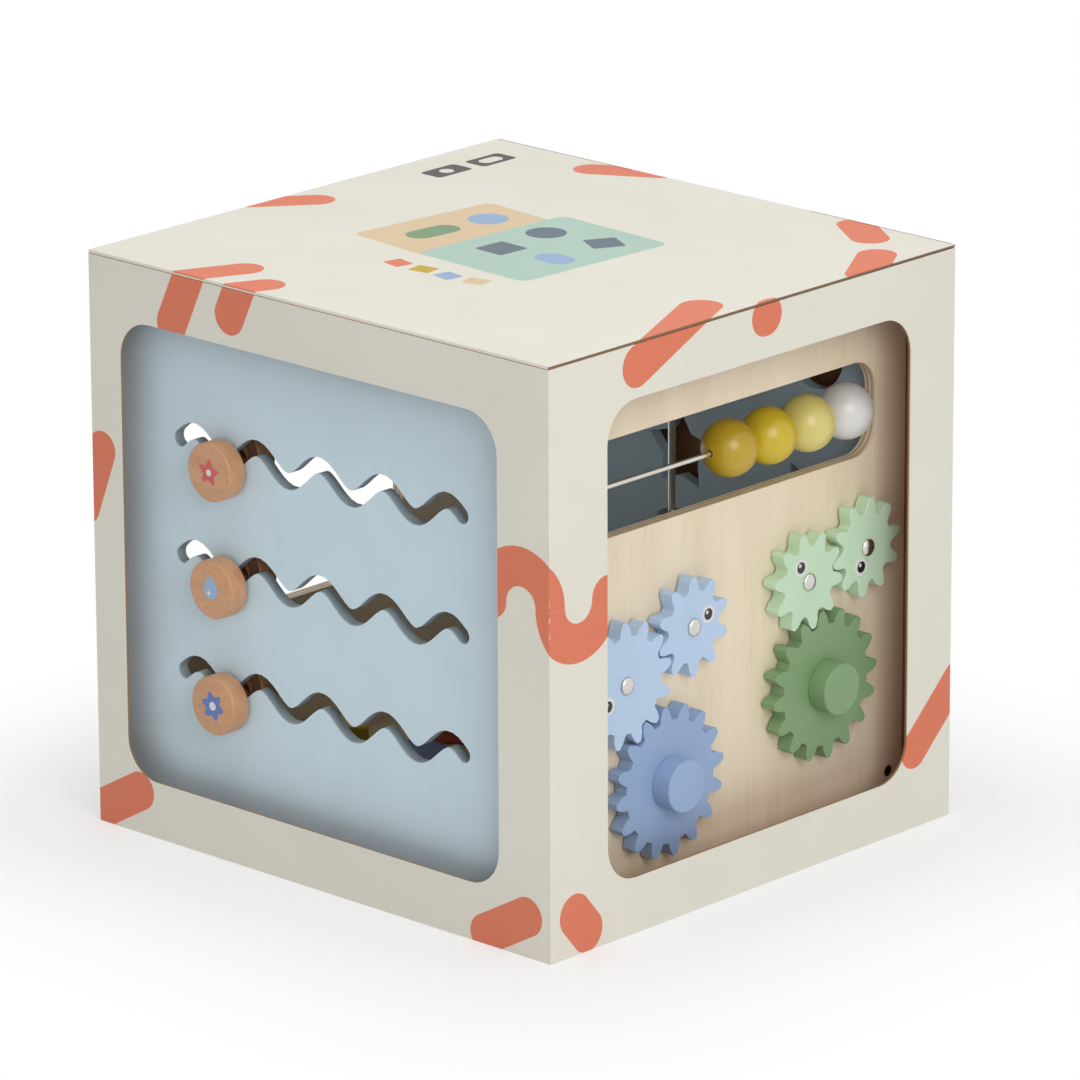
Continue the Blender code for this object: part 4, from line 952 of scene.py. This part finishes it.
class ACTIVITYCUBE_OT_sliders(bpy.types.Operator):
    """Build the slider knobs with their printed motifs and keepers, and dress the washers"""
    bl_idname = "activity_cube.sliders"
    bl_label = "Sliders"

    def execute(self, context):
        beech = beech_material()
        felt = felt_material()
        settings = colours()
        thickness = sizes().knob_thickness
        knob = self.knob_blank(thickness)
        keeper = self.keeper_blank()
        pale = ink_material("pale_ink", settings.white)
        # Each print: how it is drawn, its ink, the radius of its pale spot and that spot's place.
        prints = (
            (star_print, ink_material("star_ink", settings.red), 0.0020, (0.0, 0.0)),
            (drop_print, ink_material("drop_ink", settings.sky), 0.0012, (-0.0018, -0.0020)),
            (flower_print, ink_material("flower_ink", settings.ink_blue), 0.0026, (0.0, 0.0)),
        )
        for number, (draw, ink, spot_radius, spot_place) in enumerate(prints, 1):
            node = f"slider_knob_{number}"
            body = f"slider_{number}"
            centre = middle(node)
            face = Vector((centre.x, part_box(node)[0].y, centre.z))
            piece = twin(knob, f"beech_knob_{number}")
            settle(piece, Matrix.Translation(face + Vector((0, thickness, 0))) @ FACING_FRONT)
            finish_piece(piece, beech, body, "beech", node)
            tilt = Matrix.Rotation(math.radians(FIRST_TILT + TILT_STEP * (number - 1)), 4, "Z")
            place = Matrix.Translation(face) @ FACING_FRONT @ tilt
            motif = self.raise_print(draw(f"knob_print_{number}"))
            settle(motif, place)
            finish_piece(motif, ink, body, "beech")
            depth = sizes().print_depth
            profile = [(spot_radius, 0.0), (spot_radius, 1.4 * depth), (0.9 * spot_radius, 1.6 * depth)]
            spot = turned(f"knob_print_spot_{number}", profile, 32)
            clean_up(spot)
            settle(spot, place @ Matrix.Translation((*spot_place, 0.0)))
            finish_piece(spot, pale, body, "beech")
            node = f"slider_keeper_{number}"
            piece = twin(keeper, f"beech_keeper_{number}")
            settle(piece, Matrix.Translation(middle(node)) @ FACING_FRONT)
            finish_piece(piece, beech, f"slider_{number}_keeper", "beech", node)
            dress(f"slider_washer_{number}", felt)
        discard(knob)
        discard(keeper)
        return {"FINISHED"}

    def knob_blank(self, thickness):
        """A round-edged knob on its stem, with its back at the origin."""
        low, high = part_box("slider_knob_1")
        radius = (high.x - low.x) / 2
        edge = sizes().knob_edge
        stem = sizes().stem_radius
        head = sizes().stem_head_radius
        head_back = thickness - (high.y - low.y)
        head_front = head_back + sizes().stem_head_thickness
        profile = [(head, head_back), (head, head_front), (stem, head_front), (stem, 0.0)]
        profile.append((radius - edge, 0.0))
        profile += quarter(radius - edge, edge, edge, -90.0)[1:]
        profile += quarter(radius - edge, thickness - edge, edge, 0.0)
        knob = turned("knob_blank", profile, 72)
        clean_up(knob)
        smooth(knob, 35.0)
        return knob

    def keeper_blank(self):
        """A round-edged disc with a hole for the stem, about its middle."""
        low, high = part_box("slider_keeper_1")
        radius = (high.x - low.x) / 2
        half = (high.y - low.y) / 2
        edge = sizes().knob_edge
        bore = sizes().keeper_bore
        profile = [(bore, -half), (radius - edge, -half)]
        profile += quarter(radius - edge, edge - half, edge, -90.0)[1:]
        profile += quarter(radius - edge, half - edge, edge, 0.0)
        profile.append((bore, half))
        keeper = turned("keeper_blank", profile, 56)
        bore_through(keeper)
        smooth(keeper, 35.0)
        return keeper

    def raise_print(self, motif):
        """Give a flat motif the thickness of a print."""
        start_edit(motif)
        rise = {"value": (0, 0, sizes().print_depth)}
        bpy.ops.mesh.extrude_region_move(TRANSFORM_OT_translate=rise)
        end_edit()
        clean_up(motif)
        return motif


class ACTIVITYCUBE_OT_beads(bpy.types.Operator):
    """Build the abacus beads"""
    bl_idname = "activity_cube.beads"
    bl_label = "Beads"

    def execute(self, context):
        settings = colours()
        low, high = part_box("bead_1")
        radius = (high.z - low.z) / 2
        half_length = (high.y - low.y) / 2
        bore = sizes().bead_bore
        reach = math.acos(bore / radius)
        squash = half_length / (radius * math.sin(reach))
        steps = 28
        profile = []
        for step in range(steps + 1):
            angle = -reach + 2 * reach * step / steps
            profile.append((radius * math.cos(angle), radius * math.sin(angle) * squash))
        bead = turned("bead_blank", profile, 56)
        bore_through(bead)
        smooth(bead, 50.0)
        paints = (
            ("gold_paint", settings.gold),
            ("yellow_paint", settings.yellow),
            ("pale_yellow_paint", settings.pale_yellow),
            ("white_paint", settings.white),
        )
        for number, (slot, tint) in enumerate(paints, 1):
            node = f"bead_{number}"
            piece = twin(bead, f"wood_bead_{number}")
            settle(piece, Matrix.Translation(middle(node)) @ FACING_FRONT)
            paint = painted_material(slot, tint, roughness=0.36, grain=0.16, coat=0.25)
            finish_piece(piece, paint, node, slot, node)
        discard(bead)
        return {"FINISHED"}


def eye_piece(name, whites, pupil_ink):
    """A flat eye: a white disc with a dark middle and a small light spot."""
    radius = sizes().eye_radius
    pupil = sizes().pupil_radius
    profile = [(radius, 0.0), (radius, EYE_RIM * 2 / 3), (radius - EYE_RIM, EYE_RIM), (pupil, EYE_RIM)]
    eye = turned(name, profile, 40)
    eye.data.materials.append(whites)
    eye.data.materials.append(pupil_ink)
    # The face that was extruded last is still selected: it takes the pupil's ink.
    select_only(eye)
    bpy.ops.object.mode_set(mode="EDIT")
    bpy.ops.mesh.select_mode(type="FACE")
    eye.active_material_index = 1
    bpy.ops.object.material_slot_assign()
    end_edit()
    light = EYE_SPOT_RADIUS
    profile = [(light, EYE_RIM), (light, EYE_RIM + 0.00008), (light - EYE_RIM, EYE_RIM + 0.00012)]
    spot = turned("eye_spot", profile, 20)
    settle(spot, Matrix.Translation(EYE_SPOT_PLACE))
    spot.data.materials.append(whites)
    select_only(eye)
    spot.select_set(True)
    bpy.ops.object.join()
    return eye


class ACTIVITYCUBE_OT_gears(bpy.types.Operator):
    """Build the gears with their knobs, rivets and eyes"""
    bl_idname = "activity_cube.gears"
    bl_label = "Gears"

    def execute(self, context):
        settings = colours()
        paints = {
            "dark_green_paint": painted_material("dark_green_paint", settings.dark_green),
            "light_green_paint": painted_material("light_green_paint", settings.light_green),
            "mid_blue_paint": painted_material("mid_blue_paint", settings.mid_blue),
            "light_blue_paint": painted_material("light_blue_paint", settings.light_blue),
        }
        slots = {
            "green_drive": "dark_green_paint", "green_middle": "light_green_paint",
            "green_end": "light_green_paint", "blue_drive": "mid_blue_paint",
            "blue_middle": "light_blue_paint", "blue_end": "light_blue_paint",
        }
        steel = metal_material("rivet_steel", settings.steel, 0.26)
        for gear, slot in slots.items():
            node = f"{gear}_gear"
            piece = copy_of_node(node, f"wood_{node}")
            round_edges(piece, sizes().gear_edge, 3, 28.0)
            finish_piece(piece, paints[slot], node, slot, node)
        self.build_knobs(slots, paints, steel)
        self.build_rivets(steel)
        self.build_eyes()
        return {"FINISHED"}

    def build_knobs(self, slots, paints, steel):
        """The knobs of the two drive gears, bored for their spindles."""
        for gear in DRIVE_GEARS:
            node = f"{gear}_knob"
            low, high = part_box(node)
            radius = (high.z - low.z) / 2
            back = low.x - GEAR_FRONT
            front = high.x - GEAR_FRONT
            edge = sizes().drive_edge
            bore = sizes().knob_bore
            profile = [(bore, back + KNOB_BORE_DEPTH), (bore, back), (radius, back)]
            profile += quarter(radius - edge, front - edge, edge, 0.0)
            knob = turned(f"wood_{node}", profile, 72)
            clean_up(knob)
            centre = middle(node)
            settle(knob, Matrix.Translation((GEAR_FRONT, centre.y, centre.z)) @ FACING_RIGHT)
            smooth(knob, 35.0)
            finish_piece(knob, paints[slots[gear]], f"{gear}_gear", slots[gear], node)
            dress(f"{gear}_spindle", steel)

    def build_rivets(self, steel):
        """Domed rivets that the small gears turn on."""
        low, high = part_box("green_middle_pin")
        dome = high.x - GEAR_FRONT - RIVET_RIM
        nut_back = low.x - GEAR_FRONT
        nut_front = nut_back + RIVET_NUT_DEPTH
        profile = [(RIVET_NUT, nut_back), (RIVET_NUT, nut_front), (RIVET_SHANK, nut_front)]
        profile += [(RIVET_SHANK, RIVET_LIFT), (RIVET_HEAD, RIVET_LIFT)]
        for step in range(10):
            angle = math.radians(8.8 * step)
            profile.append((RIVET_HEAD * math.cos(angle), RIVET_RIM + dome * math.sin(angle)))
        rivet = turned("rivet_blank", profile, 48)
        clean_up(rivet)
        smooth(rivet, 40.0)
        for gear in EYES:
            node = f"{gear}_pin"
            centre = middle(node)
            piece = twin(rivet, f"steel_{node}")
            settle(piece, Matrix.Translation((GEAR_FRONT, centre.y, centre.z)) @ FACING_RIGHT)
            finish_piece(piece, steel, ROOT, "polished_steel", node)
        discard(rivet)

    def build_eyes(self):
        """One eye on each small gear."""
        whites = ink_material("eye_white", colours().white)
        dark = ink_material("eye_pupil", shade(colours().charcoal, 0.3), 0.3)
        for gear, (shift_y, shift_z) in EYES.items():
            centre = middle(f"{gear}_pin")
            eye = eye_piece(f"{gear}_eye", whites, dark)
            place = Vector((GEAR_FRONT, centre.y + shift_y, centre.z + shift_z))
            settle(eye, Matrix.Translation(place) @ FACING_RIGHT)
            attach(eye, f"{gear}_gear")


class ACTIVITYCUBE_OT_fittings(bpy.types.Operator):
    """Build the panel screws and dress the rods"""
    bl_idname = "activity_cube.fittings"
    bl_label = "Fittings"

    def execute(self, context):
        settings = colours()
        steel = metal_material("rod_steel", settings.steel, 0.22)
        dark = metal_material("screw_steel", settings.dark_steel, 0.35)
        dress("abacus_rod", steel)
        self.build_tie_rod(steel)
        low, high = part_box("panel_screw_1")
        long = high.x - low.x
        profile = [(SCREW_SHANK, -long), (SCREW_SHANK, -SCREW_NECK), (SCREW_HEAD, -SCREW_TAPER)]
        profile += [(SCREW_HEAD, -SCREW_EDGE), (SCREW_HEAD - SCREW_EDGE, 0.0)]
        screw = turned("screw_blank", profile, 24)
        clean_up(screw)
        for turn in (0.0, math.pi / 2):
            cut_away(screw, (0, 0, 0), SCREW_CROSS, turn)
        smooth(screw, 35.0)
        for number in range(1, SCREW_COUNT + 1):
            node = f"panel_screw_{number}"
            low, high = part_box(node)
            centre = middle(node)
            piece = twin(screw, f"steel_{node}")
            on_right = centre.x > 0
            face = (high.x if on_right else low.x, centre.y, centre.z)
            settle(piece, Matrix.Translation(face) @ (FACING_RIGHT if on_right else FACING_LEFT))
            finish_piece(piece, dark, ROOT, "dark_steel", node)
        discard(screw)
        return {"FINISHED"}

    def build_tie_rod(self, steel):
        """The rod inside the cube with its collar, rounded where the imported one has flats."""
        low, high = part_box("inner_tie_rod")
        collar = (high.x - low.x) / 2
        centre = middle("inner_tie_rod")
        radius = sizes().tie_radius
        points = (vertex.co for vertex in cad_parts["inner_tie_rod"].data.vertices)
        levels = [p.z for p in points if math.hypot(p.x - centre.x, p.y - centre.y) > 2 * radius]
        below, above = min(levels), max(levels)
        edge = COLLAR_EDGE
        profile = [(radius, low.z), (radius, below), (collar - edge, below), (collar, below + edge)]
        profile += [(collar, above - edge), (collar - edge, above), (radius, above), (radius, high.z)]
        rod = turned("steel_tie_rod", profile, 40)
        clean_up(rod)
        settle(rod, Matrix.Translation((centre.x, centre.y, 0.0)))
        smooth(rod, 35.0)
        finish_piece(rod, steel, ROOT, "polished_steel", "inner_tie_rod")


class ACTIVITYCUBE_OT_blocks(bpy.types.Operator):
    """Build the loose blocks inside the cube"""
    bl_idname = "activity_cube.blocks"
    bl_label = "Blocks"

    def execute(self, context):
        settings = colours()
        tints = {
            "star_block": ("block_yellow", settings.yellow),
            "triangle_block": ("block_red", settings.red),
            "round_block": ("block_blue", settings.ink_blue),
            "square_block": ("block_green", settings.light_green),
        }
        for node, (slot, tint) in tints.items():
            piece = copy_of_node(node, f"wood_{node}")
            round_edges(piece, sizes().block_edge, 3)
            paint = painted_material(slot, tint, roughness=0.42, grain=0.1)
            finish_piece(piece, paint, ROOT, slot, node)
        return {"FINISHED"}


class ACTIVITYCUBE_OT_stage(bpy.types.Operator):
    """Set up the floor, the soft light and the camera"""
    bl_idname = "activity_cube.stage"
    bl_label = "Stage"

    def execute(self, context):
        self.build_floor()
        self.build_world()
        for lamp in LAMPS:
            self.add_lamp(*lamp)
        self.build_camera()
        context.scene.view_settings.view_transform = "Standard"
        return {"FINISHED"}

    def build_floor(self):
        """A wide floor that keeps the shadow and turns white further out."""
        bpy.ops.mesh.primitive_plane_add(size=FLOOR_SIZE, location=(0, 0, -FLOOR_DROP))
        floor = bpy.context.object
        floor.name = "studio_floor"
        material = bpy.data.materials.new("studio_floor")
        material.use_nodes = True
        tree = material.node_tree
        tree.nodes.clear()
        coordinate, *_ = place_of(tree)
        mirrored = vector_calc(tree, "ABSOLUTE", coordinate, (0, 0, 0))
        reach = vector_calc(tree, "SUBTRACT", mirrored, CAD_HIGH)
        past = vector_calc(tree, "MAXIMUM", reach, (0, 0, 0))
        away = vector_calc(tree, "LENGTH", past, (0, 0, 0), "Value")
        matt = add(tree, "ShaderNodeBsdfDiffuse", {"Color": (*colours().floor, 1.0)})
        white = add(tree, "ShaderNodeEmission", {"Color": (1, 1, 1, 1), "Strength": 1.0})
        pale = calc(tree, "MULTIPLY_ADD", ramp(tree, away, 0.0, FLOOR_FADE), 0.55, 0.45)
        factor = calc(tree, "MULTIPLY", pale, self.seen(tree))
        blend = add(tree, "ShaderNodeMixShader", {0: factor, 1: matt.outputs[0], 2: white.outputs[0]})
        add(tree, "ShaderNodeOutputMaterial", {"Surface": blend.outputs[0]})
        floor.data.materials.append(material)

    def seen(self, tree):
        """One for rays that show the background, straight on or in metal."""
        path = add(tree, "ShaderNodeLightPath").outputs
        shown = calc(tree, "MAXIMUM", path["Is Camera Ray"], path["Is Glossy Ray"])
        return calc(tree, "MAXIMUM", shown, path["Is Transmission Ray"])

    def build_world(self):
        """White to look at, soft and even as light."""
        world = bpy.data.worlds.new("studio")
        world.use_nodes = True
        bpy.context.scene.world = world
        tree = world.node_tree
        tree.nodes.clear()
        light = add(tree, "ShaderNodeBackground", {"Color": (1, 1, 1, 1), "Strength": SKY_LIGHT})
        white = add(tree, "ShaderNodeBackground", {"Color": (1, 1, 1, 1), "Strength": 1.0})
        blend = add(
            tree, "ShaderNodeMixShader", {0: self.seen(tree), 1: light.outputs[0], 2: white.outputs[0]}
        )
        add(tree, "ShaderNodeOutputWorld", {"Surface": blend.outputs[0]})

    def add_lamp(self, name, place, size, power):
        """A square softbox that faces the cube."""
        lamp = bpy.data.lights.new(name, "AREA")
        lamp.size = size
        lamp.energy = power
        holder = bpy.data.objects.new(name, lamp)
        bpy.context.scene.collection.objects.link(holder)
        holder.location = place
        aim = Vector((0, 0, HEIGHT / 2)) - Vector(place)
        holder.rotation_euler = aim.to_track_quat("-Z", "Y").to_euler()

    def build_camera(self):
        """A long lens at the photographed corner view."""
        turn = math.radians(VIEW_TURN)
        height = math.radians(VIEW_HEIGHT)
        roll = math.radians(VIEW_ROLL)
        level_back = Vector((math.sin(turn), -math.cos(turn), 0)) * math.cos(height)
        back = level_back + Vector((0, 0, math.sin(height)))
        level = Vector((0, 0, 1)).cross(back).normalized()
        upright = back.cross(level)
        across = math.cos(roll) * level + math.sin(roll) * upright
        rise = -math.sin(roll) * level + math.cos(roll) * upright
        lens = bpy.data.cameras.new("corner_view")
        lens.sensor_width = SENSOR_WIDTH
        lens.lens = VIEW_LENS
        lens.clip_end = 100.0
        camera = bpy.data.objects.new("corner_view", lens)
        bpy.context.scene.collection.objects.link(camera)
        turned_to = Matrix((across, rise, back)).transposed().to_4x4()
        camera.matrix_world = Matrix.Translation(VIEW_TARGET + back * VIEW_DISTANCE) @ turned_to
        bpy.context.scene.camera = camera


class ACTIVITYCUBE_PT_panel(bpy.types.Panel):
    """Lists the steps that dress the cube"""
    bl_label = "Activity Cube"
    bl_idname = "ACTIVITYCUBE_PT_panel"
    bl_space_type = "VIEW_3D"
    bl_region_type = "UI"
    bl_category = "Activity Cube"

    def draw(self, context):
        for step in STEPS:
            self.layout.operator(step.bl_idname)


STEPS = (
    ACTIVITYCUBE_OT_carton,
    ACTIVITYCUBE_OT_panels,
    ACTIVITYCUBE_OT_sliders,
    ACTIVITYCUBE_OT_beads,
    ACTIVITYCUBE_OT_gears,
    ACTIVITYCUBE_OT_fittings,
    ACTIVITYCUBE_OT_blocks,
    ACTIVITYCUBE_OT_stage,
)
CLASSES = (ActivityCubeColours, ActivityCubeSizes, *STEPS, ACTIVITYCUBE_PT_panel)


def register():
    """Add the settings, the steps and the panel."""
    for item in CLASSES:
        bpy.utils.register_class(item)
    bpy.types.Scene.activity_cube_colours = PointerProperty(type=ActivityCubeColours)
    bpy.types.Scene.activity_cube_sizes = PointerProperty(type=ActivityCubeSizes)


def unregister():
    """Take the settings, the steps and the panel away."""
    del bpy.types.Scene.activity_cube_sizes
    del bpy.types.Scene.activity_cube_colours
    for item in reversed(CLASSES):
        bpy.utils.unregister_class(item)


def main():
    """Run every step."""
    register()
    bpy.ops.activity_cube.carton()
    bpy.ops.activity_cube.panels()
    bpy.ops.activity_cube.sliders()
    bpy.ops.activity_cube.beads()
    bpy.ops.activity_cube.gears()
    bpy.ops.activity_cube.fittings()
    bpy.ops.activity_cube.blocks()
    bpy.ops.activity_cube.stage()


if __name__ == "__main__":
    main()
